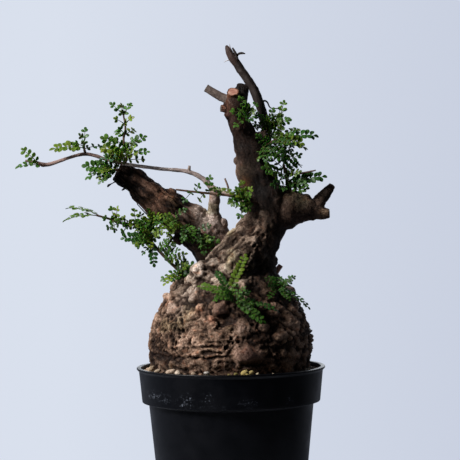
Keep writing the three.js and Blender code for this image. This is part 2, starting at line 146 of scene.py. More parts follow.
def noise(points, size, seed):
    """Smooth noise from -1 to 1: random values at the corners of cubes of that size, blended across
    each cube by 3t^2 - 2t^3 of the share t along each edge."""
    scaled = points / size
    base = np.floor(scaled)
    t = scaled - base
    t = t * t * (3 - 2 * t)
    total = np.zeros(points.shape[:-1])
    for corner in np.ndindex(2, 2, 2):
        weight = np.prod(np.where(np.array(corner) == 1, t, 1 - t), axis=-1)
        total += weight * scatter(base + np.array(corner), seed)
    return 2 * total - 1


def warped(points, size, amount, seed):
    """The points pushed about by three noises of that size, by up to the amount along each axis."""
    push = np.stack([noise(points, size, seed + axis) for axis in range(3)], axis=-1)
    return points + amount * push


def cells(points, size, seed):
    """One seeded middle lies somewhere in each cube of that size. Gives each point's distance to
    the nearest and the second nearest middle, as shares of the size, and the nearest one's number."""
    scaled = points / size
    base = np.floor(scaled)
    nearest = np.full(points.shape[:-1], 9.0)
    second = np.full(points.shape[:-1], 9.0)
    number = np.zeros(points.shape[:-1])
    for corner in np.ndindex(3, 3, 3):
        cell = base + np.array(corner) - 1
        middle = cell + np.stack([scatter(cell, seed + 11 * (axis + 1)) for axis in range(3)], axis=-1)
        away = np.linalg.norm(scaled - middle, axis=-1)
        closer = away < nearest
        second = np.where(closer, nearest, np.minimum(second, away))
        number = np.where(closer, scatter(cell, seed + 77), number)
        nearest = np.where(closer, away, nearest)
    return nearest, second, number


def stretched(points, direction, times):
    """The points squeezed along a direction, so that what is worked out from them looks so many
    times longer that way."""
    along = unit(np.array(direction, float))
    return points - (1 - 1 / times) * (points @ along)[..., None] * along


# Surfaces: paths, tubes, turned profiles and meshes

# How finely a path's curve is worked out before its rows are spaced evenly
STEPS_TO_NEXT_ROW = 24


def smooth_path(rows, spacing):
    """A curve through the rows, as rows at even distances along it.

    Each row starts with x, y, z, and whatever follows, such as a radius, is blended alike. Between
    two rows it is the cubic whose end slopes come from the chords on either side, weighted by the
    square roots of their lengths.
    """
    rows = np.array(rows, float)
    whole = np.vstack([2 * rows[0] - rows[1], rows, 2 * rows[-1] - rows[-2]])
    knots = np.sqrt(np.linalg.norm(np.diff(whole[:, :3], axis=0), axis=1))[:, None]
    a, b, c, d = whole[:-3], whole[1:-2], whole[2:-1], whole[3:]
    before, here, after = knots[:-2], knots[1:-1], knots[2:]
    leaving = ((b - a) / before - (c - a) / (before + here) + (c - b) / here) * here
    arriving = ((c - b) / here - (d - b) / (here + after) + (d - c) / after) * here
    t = np.linspace(0, 1, STEPS_TO_NEXT_ROW, endpoint=False)[:, None, None]
    curve = (
        (2 * t**3 - 3 * t**2 + 1) * b + (t**3 - 2 * t**2 + t) * leaving
        + (3 * t**2 - 2 * t**3) * c + (t**3 - t**2) * arriving
    )
    curve = np.vstack([curve.transpose(1, 0, 2).reshape(-1, rows.shape[1]), rows[-1]])
    travel = distances(curve)
    count = max(3, int(round(travel[-1] / spacing)) + 1)
    places = np.linspace(0, travel[-1], count)
    return np.stack([np.interp(places, travel, column) for column in curve.T], axis=1)


def distances(rows):
    """How far along the path each row lies from the first."""
    gaps = np.linalg.norm(np.diff(rows[:, :3], axis=0), axis=1)
    return np.concatenate([[0], np.cumsum(gaps)])


def tube(rows, sides, lumps=0.0, facing=(0.0, 1.0, 0.0)):
    """Rings along a path of x, y, z, radius: middle + reach * (cos * side + sin * front).

    Side is square to the path and to facing, and front is square to both. The reach is the radius
    plus the product of two slow sine waves that wind round and along the limb, times lumps.
    """
    along = unit(np.gradient(rows[:, :3], axis=0))
    side = unit(np.cross(np.array(facing), along))
    front = np.cross(along, side)
    turn = np.linspace(0, 2 * np.pi, sides, endpoint=False)
    travel = distances(rows)[:, None]
    wave = np.sin(2 * turn + 0.13 * travel) * np.sin(turn - 0.2 * travel)
    reach = (rows[:, 3:4] + lumps * wave)[..., None]
    ring = np.cos(turn)[:, None] * side[:, None] + np.sin(turn)[:, None] * front[:, None]
    return rows[:, None, :3] + reach * ring


def turned(profile, sides):
    """Rings of a profile of radius, height rows carried once round the Z axis."""
    turn = np.linspace(0, 2 * np.pi, sides, endpoint=False)
    profile = np.array(profile, float)
    radius = profile[:, 0:1]
    height = np.repeat(profile[:, 1:2], sides, axis=1)
    return np.stack([radius * np.cos(turn), radius * np.sin(turn), height], axis=-1)


def rounded(profile, radius):
    """A profile with each inner corner replaced by four points of a short curve that leaves it a
    radius away: the corner's parabola, (1-t)^2 * entry + 2t(1-t) * corner + t^2 * exit."""
    rows = np.array(profile, float)
    corner = rows[1:-1, None]
    back = rows[:-2] - rows[1:-1]
    ahead = rows[2:] - rows[1:-1]
    back_reach = np.minimum(radius, 0.45 * np.linalg.norm(back, axis=1, keepdims=True))
    ahead_reach = np.minimum(radius, 0.45 * np.linalg.norm(ahead, axis=1, keepdims=True))
    entry = corner + (unit(back) * back_reach)[:, None]
    leave = corner + (unit(ahead) * ahead_reach)[:, None]
    t = np.linspace(0, 1, 4)[None, :, None]
    bends = (1 - t) ** 2 * entry + 2 * t * (1 - t) * corner + t**2 * leave
    return np.vstack([rows[0], bends.reshape(-1, 2), rows[-1]])


class Mould:
    """Gathers the closed surfaces of one piece: points in millimetres, faces and their finishes."""

    def __init__(self):
        self.points = []
        self.quads = []
        self.tris = []
        self.quad_finish = []
        self.tri_finish = []
        self.values = []
        self.count = 0

    def add(self, points, quads, tris, value, cap_finish=0, side_finish=0):
        """Adds one surface. Value is an array of four numbers for each point, or None for zeros."""
        self.points.append(points)
        self.quads.append(quads + self.count)
        self.tris.append(tris + self.count)
        self.quad_finish.append(np.full(len(quads), side_finish))
        self.tri_finish.append(np.full(len(tris), cap_finish))
        self.values.append(np.zeros((len(points), 4)) if value is None else value)
        self.count += len(points)

    def add_copies(self, points, quads, tris, values):
        """Adds many copies of one surface: each row of points and values is a copy, and all of them
        have the faces of the first."""
        first = np.arange(len(points))[:, None, None] * points.shape[1]
        self.add(points.reshape(-1, 3), (quads + first).reshape(-1, 4), (tris + first).reshape(-1, 3),
                 values.reshape(-1, 4))

    def add_rings(self, rings, cap_finish=0, value=None, side_finish=0):
        """A surface through rings, closed round each ring and closed at both ends by a fan to the
        middle of the end ring."""
        count, sides = rings.shape[:2]
        row, column = np.meshgrid(np.arange(count - 1), np.arange(sides), indexing="ij")
        above = row + 1
        beside = (column + 1) % sides
        corners = (row * sides + column, row * sides + beside, above * sides + beside, above * sides + column)
        quads = np.stack(corners, axis=-1).reshape(-1, 4)
        start = count * sides
        here = np.arange(sides)
        after = (here + 1) % sides
        last = (count - 1) * sides
        foot = np.stack([np.full(sides, start), after, here], axis=-1)
        head = np.stack([np.full(sides, start + 1), last + here, last + after], axis=-1)
        points = np.vstack([rings.reshape(-1, 3), rings[0].mean(axis=0), rings[-1].mean(axis=0)])
        if value is not None:
            value = np.vstack([value, value[:1], value[-1:]])
        self.add(points, quads, np.vstack([foot, head]), value, cap_finish, side_finish)

    def mesh_piece(self, name, materials, crease=None):
        """The gathered surfaces as one object at the origin, in metres and shaded smooth."""
        mesh = bpy.data.meshes.new(name)
        quads = np.vstack(self.quads)
        tris = np.vstack(self.tris)
        points = np.vstack(self.points) * MM
        mesh.from_pydata(points.tolist(), [], quads.tolist() + tris.tolist())
        finish = np.concatenate(self.quad_finish + self.tri_finish)
        return finish_piece(mesh, name, materials, finish, np.vstack(self.values), crease)


def ring_surface(rings):
    """The points, quads and triangles of one closed surface through rings."""
    mould = Mould()
    mould.add_rings(rings)
    return mould.points[0], mould.quads[0], mould.tris[0]


def finish_piece(mesh, name, materials, finish, values, crease):
    """Shades the mesh smooth, gives it its materials and point values, and makes its object."""
    for material in materials:
        mesh.materials.append(material)
    if finish is not None:
        mesh.polygons.foreach_set("material_index", finish.astype(np.int32))
    mesh.polygons.foreach_set("use_smooth", np.ones(len(mesh.polygons), bool))
    if crease is not None:
        mesh.set_sharp_from_angle(angle=math.radians(crease))
    layer = mesh.attributes.new("finish", "FLOAT_COLOR", "POINT")
    layer.data.foreach_set("color", np.ascontiguousarray(values, np.float32).ravel())
    mesh.update()
    piece = bpy.data.objects.new(name, mesh)
    bpy.context.scene.collection.objects.link(piece)
    return piece


def finished_mesh(piece):
    """A new mesh of the piece as its modifiers leave it."""
    seen = piece.evaluated_get(bpy.context.evaluated_depsgraph_get())
    return bpy.data.meshes.new_from_object(seen)


def place(piece, slot, *nodes):
    """The piece rides with the one body and stands for the nodes. The slot is not used."""
    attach(piece, "root")
    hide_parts(*nodes)


# Finishes

# The colour sockets of a mix node: its two inputs and its output
MIX_FIRST, MIX_SECOND, MIX_RESULT = 6, 7, 2


class Recipe:
    """A material's node tree, built one named step at a time."""

    def __init__(self, name):
        self.material = bpy.data.materials.new(name)
        self.material.use_nodes = True
        self.tree = self.material.node_tree
        self.tree.nodes.clear()
        self.output = self.tree.nodes.new("ShaderNodeOutputMaterial")

    def node(self, kind, **settings):
        """A node of that kind, with its settings given by name."""
        made = self.tree.nodes.new("ShaderNode" + kind)
        for key, value in settings.items():
            setattr(made, key, value)
        return made

    def feed(self, node, socket, value):
        """Puts a value on a socket: a link where it is an output, and a constant otherwise."""
        if isinstance(value, bpy.types.NodeSocket):
            self.tree.links.new(value, node.inputs[socket])
        else:
            node.inputs[socket].default_value = value

    def feed_colour(self, node, socket, colour):
        """Puts a colour on a socket: a link where it is an output, and an opaque colour otherwise."""
        self.feed(node, socket, colour if isinstance(colour, bpy.types.NodeSocket) else (*colour, 1.0))

    def place_on_object(self):
        """The object's own coordinates, in metres."""
        return self.node("TexCoord").outputs["Object"]

    def values(self):
        """The four numbers that each point carries, as a colour output and an alpha output."""
        made = self.node("Attribute", attribute_name="finish")
        return made.outputs["Color"], made.outputs["Alpha"]

    def noise(self, vector, scale, detail, roughness=0.55):
        """Smooth noise from 0 to 1, with finer noise over it by its detail and roughness."""
        made = self.node("TexNoise")
        self.feed(made, "Vector", vector)
        self.feed(made, "Scale", scale)
        self.feed(made, "Detail", detail)
        self.feed(made, "Roughness", roughness)
        return made.outputs["Fac"]

    def cell(self, vector, scale, feature="F1"):
        """The distance to the nearest of many scattered middles, or to the edge between two."""
        made = self.node("TexVoronoi", feature=feature)
        self.feed(made, "Vector", vector)
        self.feed(made, "Scale", scale)
        return made.outputs["Distance"]

    def ramp(self, value, *stops):
        """A colour ramp through stops of place and colour."""
        made = self.node("ValToRGB")
        self.feed(made, "Fac", value)
        elements = made.color_ramp.elements
        while len(elements) < len(stops):
            elements.new(0.5)
        for element, (position, colour) in zip(elements, stops):
            element.position = position
            element.color = (*colour, 1.0)
        return made.outputs["Color"]

    def math(self, operation, first, second=0.0):
        """One step of arithmetic on one or two values."""
        made = self.node("Math", operation=operation)
        self.feed(made, 0, first)
        self.feed(made, 1, second)
        return made.outputs["Value"]

    def spread(self, value, low, high, to_low=0.0, to_high=1.0):
        """The value's span from low to high stretched smoothly onto another span."""
        made = self.node("MapRange", interpolation_type="SMOOTHSTEP")
        for socket, number in zip(("Value", "From Min", "From Max", "To Min", "To Max"),
                                  (value, low, high, to_low, to_high)):
            self.feed(made, socket, number)
        return made.outputs["Result"]

    def mix(self, share, first, second, blend="MIX"):
        """The first colour, with that share of the second laid over it by the blend."""
        made = self.node("Mix", data_type="RGBA", blend_type=blend)
        self.feed(made, 0, share)
        self.feed_colour(made, MIX_FIRST, first)
        self.feed_colour(made, MIX_SECOND, second)
        return made.outputs[MIX_RESULT]

    def squeezed(self, vector, scale):
        """The vector with each axis scaled on its own."""
        made = self.node("Mapping")
        self.feed(made, "Vector", vector)
        self.feed(made, "Scale", scale)
        return made.outputs["Vector"]

    def bump(self, height, strength, distance, under=None):
        """Shading that follows a height of that distance in metres, over another bump if given."""
        made = self.node("Bump")
        self.feed(made, "Height", height)
        self.feed(made, "Strength", strength)
        self.feed(made, "Distance", distance)
        if under is not None:
            self.feed(made, "Normal", under)
        return made.outputs["Normal"]

    def surface(self, colour, roughness, normal, **constants):
        """Closes the tree with one principled shader and gives the finished material."""
        shader = self.node("BsdfPrincipled")
        self.feed_colour(shader, "Base Color", colour)
        self.feed(shader, "Roughness", roughness)
        self.feed(shader, "Normal", normal)
        for key, value in constants.items():
            self.feed(shader, key.replace("_", " "), value)
        self.tree.links.new(shader.outputs["BSDF"], self.output.inputs["Surface"])
        return self.material


def bark_finish():
    """Rough bark: its points carry a tint and, in the fourth number, how high each stands in the
    relief. Hollows go dark brown as painted shade, and tops are pale as painted light, and dusty and
    a little mottled."""
    bark = Recipe("bark")
    place_on = bark.place_on_object()
    tint, height = bark.values()
    mottle = bark.noise(place_on, 210.0, 5.0, 0.62)
    grain = bark.noise(place_on, 900.0, 4.0, 0.7)
    crumbs = bark.cell(place_on, 620.0)
    lifted = bark.math("ADD", height, bark.math("MULTIPLY", bark.math("SUBTRACT", grain, 0.5), 0.28))
    # Painted shade and light: the relief's height takes the hollows almost to black and lifts the tops past
    # the tint
    depth = bark.ramp(lifted, (0.12, (0.045, 0.031, 0.025)), (0.4, (0.13, 0.097, 0.077)),
                      (0.58, (0.56, 0.51, 0.46)), (0.78, (1.12, 1.08, 1.03)), (1.0, (1.8, 1.8, 1.8)))
    redder = bark.mix(1.0, tint, (1.12, 0.78, 0.62), "MULTIPLY")
    warm = bark.mix(bark.spread(mottle, 0.52, 0.72), tint, redder)
    dusty = bark.mix(bark.spread(grain, 0.5, 0.75, 0.0, 0.16), warm, (0.34, 0.31, 0.29))
    veins = bark.noise(place_on, 330.0, 4.0, 0.6)
    crack = bark.spread(bark.math("ABSOLUTE", bark.math("SUBTRACT", veins, 0.5)), 0.004, 0.045)
    cracked = bark.mix(crack, (0.45, 0.39, 0.36), (1.0, 1.0, 1.0))
    colour = bark.mix(1.0, bark.mix(1.0, dusty, depth, "MULTIPLY"), cracked, "MULTIPLY")
    fine = bark.bump(grain, 0.5, 0.0008)
    split = bark.bump(crack, 0.6, 0.0009, fine)
    normal = bark.bump(crumbs, 0.25, 0.0005, split)
    return bark.surface(colour, 0.6, normal, Specular_IOR_Level=0.15)


def cut_finish():
    """A fresh saw cut: pinkish wood, a little blotched, with fine saw marks."""
    cut = Recipe("fresh_cut")
    place_on = cut.place_on_object()
    blotch = cut.noise(place_on, 260.0, 4.0)
    marks = cut.noise(cut.squeezed(place_on, (1.0, 1.0, 7.0)), 420.0, 2.0)
    wood = cut.ramp(blotch, (0.35, (0.3, 0.125, 0.085)), (0.5, (0.42, 0.21, 0.15)), (0.66, (0.5, 0.31, 0.23)))
    grain = cut.ramp(marks, (0.35, (0.72, 0.66, 0.62)), (0.6, (1.0, 1.0, 1.0)))
    colour = cut.mix(1.0, wood, grain, "MULTIPLY")
    return cut.surface(colour, 0.62, cut.bump(marks, 0.5, 0.0004))


def old_cut_finish():
    """A weathered cut: dark grey-brown end grain with cracks."""
    cut = Recipe("old_cut")
    place_on = cut.place_on_object()
    cracks = cut.cell(place_on, 520.0, "DISTANCE_TO_EDGE")
    blotch = cut.noise(place_on, 300.0, 4.0)
    wood = cut.ramp(blotch, (0.3, (0.045, 0.032, 0.026)), (0.7, (0.15, 0.115, 0.095)))
    colour = cut.mix(cut.spread(cracks, 0.0, 0.08), (0.012, 0.009, 0.008), wood)
    return cut.surface(colour, 0.85, cut.bump(cracks, 0.6, 0.0006))


def twig_finish():
    """Thin young wood: its points carry a tint, with fine specks on it."""
    twig = Recipe("twig_bark")
    place_on = twig.place_on_object()
    tint, _ = twig.values()
    specks = twig.noise(place_on, 800.0, 3.0, 0.6)
    shade = twig.ramp(specks, (0.3, (0.55, 0.5, 0.5)), (0.7, (1.25, 1.22, 1.2)))
    colour = twig.mix(1.0, tint, shade, "MULTIPLY")
    return twig.surface(colour, 0.65, twig.bump(specks, 0.5, 0.0003), Specular_IOR_Level=0.18)


def leaf_finish():
    """Small leathery leaflets. The points carry the leaflet's colour, and in the fourth number how
    far across it they lie, for the paler midrib; light passes through a little."""
    leaf = Recipe("leaflet")
    place_on = leaf.place_on_object()
    tint, across = leaf.values()
    blotch = leaf.noise(place_on, 330.0, 2.0)
    fine = leaf.noise(place_on, 1500.0, 2.0)
    shade = leaf.ramp(blotch, (0.3, (0.72, 0.74, 0.7)), (0.7, (1.2, 1.18, 1.15)))
    green = leaf.mix(1.0, tint, shade, "MULTIPLY")
    colour = leaf.mix(leaf.spread(across, 0.16, 0.02, 0.0, 0.3), green, (0.14, 0.24, 0.04))
    return leaf.surface(colour, 0.42, leaf.bump(fine, 0.25, 0.0002), Specular_IOR_Level=0.22,
                        Subsurface_Weight=0.35, Subsurface_Radius=(0.4, 1.0, 0.15), Subsurface_Scale=0.0007)


def plastic_finish():
    """Satin black moulded plastic with a fine grain. The first number that its points carry says
    where it is scuffed, and specks and a thin film of chalky dust show only there."""
    plastic = Recipe("pot_plastic")
    place_on = plastic.place_on_object()
    scuffed, _ = plastic.values()
    worn = plastic.node("SeparateColor")
    plastic.feed(worn, "Color", scuffed)
    grain = plastic.noise(place_on, 1400.0, 2.0)
    clouds = plastic.noise(place_on, 60.0, 3.0)
    chips = plastic.noise(plastic.squeezed(place_on, (1.0, 1.0, 1.5)), 330.0, 4.0, 0.7)
    specks = plastic.noise(place_on, 620.0, 2.0, 0.5)
    film = plastic.math("MULTIPLY", worn.outputs["Red"], plastic.spread(chips, 0.53, 0.64, 0.0, 0.3))
    marks = plastic.math("MULTIPLY", worn.outputs["Red"], plastic.spread(specks, 0.63, 0.68))
    dust = plastic.math("MAXIMUM", film, marks)
    base = plastic.ramp(clouds, (0.35, (0.0008, 0.0011, 0.0022)), (0.7, (0.0014, 0.0018, 0.0035)))
    colour = plastic.mix(dust, base, (0.26, 0.29, 0.35))
    rough = plastic.spread(clouds, 0.3, 0.7, 0.34, 0.46)
    return plastic.surface(colour, rough, plastic.bump(grain, 0.12, 0.0002), Specular_IOR_Level=0.22)


def stone_finish():
    """Gravel: each stone's points carry its own colour, with specks and a dusty grain."""
    stone = Recipe("gravel_stone")
    place_on = stone.place_on_object()
    tint, _ = stone.values()
    specks = stone.noise(place_on, 700.0, 4.0, 0.65)
    shade = stone.ramp(specks, (0.3, (0.34, 0.3, 0.26)), (0.65, (1.0, 1.0, 1.0)))
    colour = stone.mix(1.0, tint, shade, "MULTIPLY")
    return stone.surface(colour, 0.85, stone.bump(specks, 0.6, 0.0005), Specular_IOR_Level=0.3)


def soil_finish():
    """Dark damp soil with crumbs, and a little moss in patches."""
    soil = Recipe("soil_crumbs")
    place_on = soil.place_on_object()
    crumbs = soil.cell(place_on, 500.0)
    patches = soil.noise(place_on, 70.0, 3.0)
    earth = soil.ramp(crumbs, (0.0, (0.11, 0.075, 0.045)), (0.6, (0.03, 0.02, 0.013)))
    colour = soil.mix(soil.spread(patches, 0.58, 0.66, 0.0, 0.7), earth, (0.07, 0.09, 0.02))
    return soil.surface(colour, 0.95, soil.bump(crumbs, 0.8, 0.001))


# The wood's middle lines: x, y, z and radius

TRUNK = [
    (22, -2, 188, 18), (21, -3, 209, 14.5), (22, -3, 222, 14.5), (26, -2, 236, 16.5), (31, -1, 250, 16),
    (30, -1, 263, 14.5), (23.5, -2, 278, 13.3), (19.5, -3, 288, 12.2), (17, -4, 299, 11.2),
    (12, -5, 312, 9.2), (7.5, -6, 325, 8), (5, -7, 336, 8.2), (4.5, -7, 343, 6.5),
]
RIDGE = [
    (-28, -22, 195, 7), (-21, -22, 203, 9.5), (-10, -18, 212, 9.5), (1, -13, 224, 9.5),
    (11, -8, 234, 9.5), (21, -4, 245, 9),
]
FLANK = [
    (-10, -26, 196, 9), (2, -22, 207, 12.5), (14, -14, 220, 13.5), (23, -8, 233, 13), (27, -4, 245, 12),
]
LEFT_BRANCH = [
    (3, 16, 200, 17), (-2, 18, 210, 17), (-15, 18, 227, 16.5), (-27, 17, 239, 15.5), (-39, 15, 249, 14.3),
    (-51, 13, 258, 12.7), (-63, 11, 267.5, 11.1), (-75, 9, 277.3, 9.6), (-88.5, 7, 286, 8.8),
]
RIGHT_BRANCH = [
    (26, 0, 244, 14), (39, 1, 251, 15), (50, 1, 255, 15.3), (60, 0, 254.5, 10.8), (68, 0, 252, 7),
    (74, -1, 251, 4.8), (80, -2, 251, 3.4),
]
RIGHT_HORN = [(66, 1, 252, 6), (72.5, 1, 261, 5), (79, 2, 268, 3.7), (83, 2, 273, 2.6)]
BRANCH_POST = [(-12, 15, 244, 6.2), (-12, 14, 256, 3.7), (-11, 13, 269, 2.9)]
PINK_STUB = [(5, -5, 337, 6.5), (4.6, -9, 343, 5.4), (4, -13.5, 347.5, 4.5)]
DARK_KNOB = [(7, -4, 336, 6.5), (10, -2, 345, 5.6), (10, -1, 351, 4.6), (9.5, -1, 354, 2)]
SIDE_STUB = [(4, -7, 340, 4.5), (-2, -7, 342.5, 3.6), (-9, -8, 346, 3.2), (-17, -9, 351, 2.9)]
PALE_STUB = [(13, -5, 309, 5), (22, -6, 312, 3.8), (30.5, -8, 313.5, 3.3)]
RED_STUB = [(32, 9, 198, 3), (37, 10, 204, 2.4), (41, 10, 209.5, 2)]
DEAD_STICK = [
    (18, 2, 296, 5), (27, 8, 304, 4.6), (31, 12, 314, 4.2), (28, 15, 331, 3.7), (24.5, 17, 342, 3.7),
    (21, 18, 351, 3.6), (16.5, 19, 358.5, 3.5), (11, 20, 366.5, 3.4), (5, 21, 376, 2.9), (1.5, 22, 382, 1.9),
]
LONG_TWIG = [
    (-11, 13, 267, 2.8), (-15, 12, 274, 2.3), (-23, 11, 281, 1.85), (-32.5, 10, 285.2, 1.65),
    (-45, 9, 286.8, 1.45), (-59, 7, 288.3, 1.4), (-72, 4, 290.2, 1.4), (-84.5, 1, 292.2, 1.4),
    (-98.5, -2, 296.2, 1.4), (-112.5, -4, 300, 1.4), (-127, -5, 297, 1.3), (-143.5, -6, 292, 1.6),
    (-152, -7, 293.8, 1.3), (-160.5, -8, 295.3, 0.9),
]
TWIG_THORN = [(-32, 10, 285, 1.6), (-31, 10, 290, 1)]

# Lumps that stand out of the limbs: x, y, z, radius
LIMB_KNOBS = [
    (61, -2, 261, 5.2), (34.5, -2, 214, 4), (4, 12, 232, 4.5), (-40, 13, 232, 5), (-2, -7, 333, 2.6),
    (7.4, -4, 293.5, 3.6), (9.5, -5, 284, 2.8), (44, 1, 266, 6), (74, 0, 247.5, 2.5), (-6, 14, 243, 3.5),
    (-57.8, 12, 274.5, 3.0), (-46, 13, 267.9, 3.7), (-39, 14, 262.8, 3.5), (-31.5, 14, 257.4, 3.2),
    (66, -1, 247.5, 3.4), (12, -6, 272, 3.4), (0, -8, 337, 5), (1.5, -8, 330, 5.5),
]

# Levels of the caudex from its crown to its root tip: height, left, right, front, back
CAUDEX_LEVELS = [
    (215, 6, 14, -4, 4), (212.5, -12, 26, -14, 15), (207, -31, 33, -26, 26), (199, -41, 40, -36, 36),
    (188, -49, 50, -45, 45), (177, -56, 57, -52, 53), (165, -61, 61, -57.5, 58), (153, -64, 64.5, -60.5, 61),
    (141, -65, 64, -61, 61), (129, -62.5, 61, -59.5, 59), (116, -56, 55, -54, 54), (104, -42, 41, -41, 41),
    (100, -1, 1, -1, 1),
]

# The middle of the caudex, and how far a plain oval body round it reaches along X, Y and Z
CAUDEX_HEART = np.array([2.0, 0.0, 150.0])
CAUDEX_REACH = np.array([63.0, 59.0, 50.0])

# The furrow down the front of the caudex: where it lies across, its half width and its depth
FURROW_X = 2
FURROW_WIDTH = 3.5
FURROW_DEPTH = 2.0

# Broad knobs and hollows of the caudex: x, y, z, width and rise
CAUDEX_KNOBS = [
    (-52, -18, 183, 5, 4), (-10, -48, 181, 6, 3.5), (-6, -54, 171, 6, -5), (12, -46, 187, 5, 3.5),
    (10, -40, 197, 5, 3), (9, -61, 139, 9, 3.5), (-20, -40, 191, 8, 3), (-36, -42, 166, 9, 2.5),
    (-30, -52, 148, 8, -2), (38, -42, 158, 9, 2.5), (47, -12, 192, 8, 2.5), (-38, 4, 200, 8, 2.5),
    (20, 57, 150, 11, 3.5), (-32, 48, 162, 9, 3), (-8, 60, 136, 9, -3), (40, 42, 172, 9, 3),
    (-50, 32, 140, 9, 3), (5, 40, 192, 9, 3),
]

# Knobs on the front of the caudex: x, z, half width, half height and rise
FRONT_KNOBS = [
    (-49, 185.5, 4.2, 4.0, 2.8), (-45.5, 179, 5.4, 4.6, 2.6), (-29.5, 186, 3.6, 3.4, 2.2),
    (-23.5, 180, 3.6, 3.2, 2.6), (-28.5, 173.8, 4.4, 3.4, 2.2), (-7.5, 179, 7.0, 5.6, 3.2),
    (-14.5, 172.5, 3.6, 2.8, 2.2), (12.4, 185, 3.4, 3.2, 3.0), (9.2, 195, 2.8, 2.8, 2.6),
    (-2.2, 198.8, 3.6, 3.0, 2.4), (5, 135.5, 3.6, 2.8, 2.2), (-36, 152, 4.6, 5.0, 2.0),
    (-37, 190.5, 4.2, 3.4, 2.2), (-57, 170, 3.2, 3.6, 1.6), (27, 164.5, 5.0, 3.8, 2.2),
    (38, 158, 5.5, 4.0, 1.8), (46, 189.5, 6.5, 4.6, 2.4), (-24, 138.5, 8.0, 2.8, 1.6),
    (26, 138.5, 9.0, 2.6, 1.4),
]

# Knobs on the front of the caudex with a smoother skin
SMOOTH_KNOBS = [(10.5, 165.5, 7.0, 8.5, 1.4), (-6, 171, 5.0, 3.4, 0.2), (14, 144.5, 15.0, 7.6, 2.6)]

# Hollows on the front of the caudex: x, z, width, height and depth
FRONT_HOLLOWS = [
    (-3, 172.5, 5, 1.8, 0.8), (-50, 141, 15, 2.6, 1.5), (-20, 142.2, 12, 1.6, 1.1),
    (20, 172, 10, 4, 1.6), (-38, 162, 5, 5, 1.2), (14, 136.8, 12, 1.6, 1.4), (-44, 157, 3, 6, 1.4),
]

# Broad flat lumps low on the ridge: x, z, half width, half height and rise
RIDGE_LUMPS = [
    (-26, 211, 8.5, 5.6, 1.5), (-18.5, 204.5, 6.5, 3.8, 1.1), (-12.5, 214, 6.0, 4.4, 1.2),
    (-10, 201, 5.2, 3.8, 1.3), (-3.5, 209, 6.0, 4.4, 1.0), (-31, 200.5, 5.0, 3.6, 1.0),
]

# Turns the points between one noise of a fractal and the next
OCTAVE_TURN = np.array([[0.36, 0.48, -0.8], [-0.8, 0.6, 0.0], [0.48, 0.64, 0.6]])

# A limb's relief is worked out where its share is more than this
LEAST_SHARE = 0.02

# The rise in millimetres that takes bark from its darkest painted shade to its palest painted light
PALING_RISE = 4.4


# Wood

def caudex_rings():
    """The swollen foot as 110 rings of 150 points, from root to crown.

    The listed levels are blended by a cubic through four neighbours. Each ring is an oval between
    the level's left, right, front and back. Each point then moves away from the heart by the sum of
    the knobs, rise * exp(-(distance / width)^2), and towards it in the furrow down the front.
    """
    rows, sides = 110, 150
    levels = np.array(CAUDEX_LEVELS, float)
    station = np.linspace(0.999, 0.001, rows) * (len(levels) - 1)
    at = np.minimum(np.floor(station).astype(int), len(levels) - 2)
    t = (station - at)[:, None]
    a, b, c, d = (levels[np.clip(at + k, 0, len(levels) - 1)] for k in (-1, 0, 1, 2))
    level = b + 0.5 * t * (c - a + t * (2 * a - 5 * b + 4 * c - d + t * (3 * (b - c) + d - a)))
    z, left, right, front, back = (column[:, None] for column in level.T)
    turn = np.linspace(0, 2 * np.pi, sides, endpoint=False)
    x = (left + right) / 2 + (right - left) / 2 * np.cos(turn)
    y = (front + back) / 2 + (back - front) / 2 * np.sin(turn)
    points = np.stack([x, y, np.broadcast_to(z, x.shape)], axis=-1)
    push = np.zeros(x.shape)
    for kx, ky, kz, width, rise in CAUDEX_KNOBS:
        away = np.linalg.norm(points - np.array([kx, ky, kz]), axis=-1)
        push += rise * np.exp(-((away / width) ** 2))
    in_furrow = (y < 0) * step(126, 132, z) * (1 - step(164, 170, z))
    push -= FURROW_DEPTH * in_furrow * np.exp(-(((x - FURROW_X) / FURROW_WIDTH) ** 2))
    return points + push[..., None] * unit(points - CAUDEX_HEART)


def ball_rings(middle, radius, rows=10, sides=16):
    """A ball as rings: sin and cos of the angle down from its top."""
    fall = np.linspace(np.pi - 0.05, 0.05, rows)
    profile = np.stack([np.sin(fall), np.cos(fall)], axis=1) * radius
    return turned(profile, sides) + np.array(middle, float)


def joined_wood():
    """The caudex and all thick limbs melted into one skin, with their joints softened.

    The closed tubes are filled with small cells, and the skin round all of them is taken as a new
    mesh, which is then relaxed a few times.
    """
    mould = Mould()
    mould.add_rings(caudex_rings())
    for path, lumps in ((TRUNK, 1.2), (RIDGE, 1.4), (FLANK, 1.0), (LEFT_BRANCH, 1.3), (RIGHT_BRANCH, 0.9),
                        (RIGHT_HORN, 0.4), (BRANCH_POST, 0.3), (DARK_KNOB, 0.3), (PALE_STUB, 0.2)):
        mould.add_rings(tube(smooth_path(path, 1.6), 36, lumps))
    for x, y, z, radius in LIMB_KNOBS:
        mould.add_rings(ball_rings((x, y, z), radius))
    rough = mould.mesh_piece("rough_wood", [])
    melt = rough.modifiers.new("melt", "REMESH")
    melt.mode = "VOXEL"
    melt.voxel_size = JOIN_STEP * MM
    relax = rough.modifiers.new("relax", "SMOOTH")
    relax.factor = 0.5
    relax.iterations = SOFTENING_ROUNDS
    skin = finished_mesh(rough)
    bpy.data.objects.remove(rough)
    return skin


def gap_to(points, path):
    """How far each point lies outside a limb: its distance to the limb's nearest middle, less the
    radius there."""
    nearest = np.full(len(points), 1e9)
    for x, y, z, radius in smooth_path(path, 4.0):
        nearest = np.minimum(nearest, np.linalg.norm(points - np.array([x, y, z]), axis=1) - radius)
    return nearest


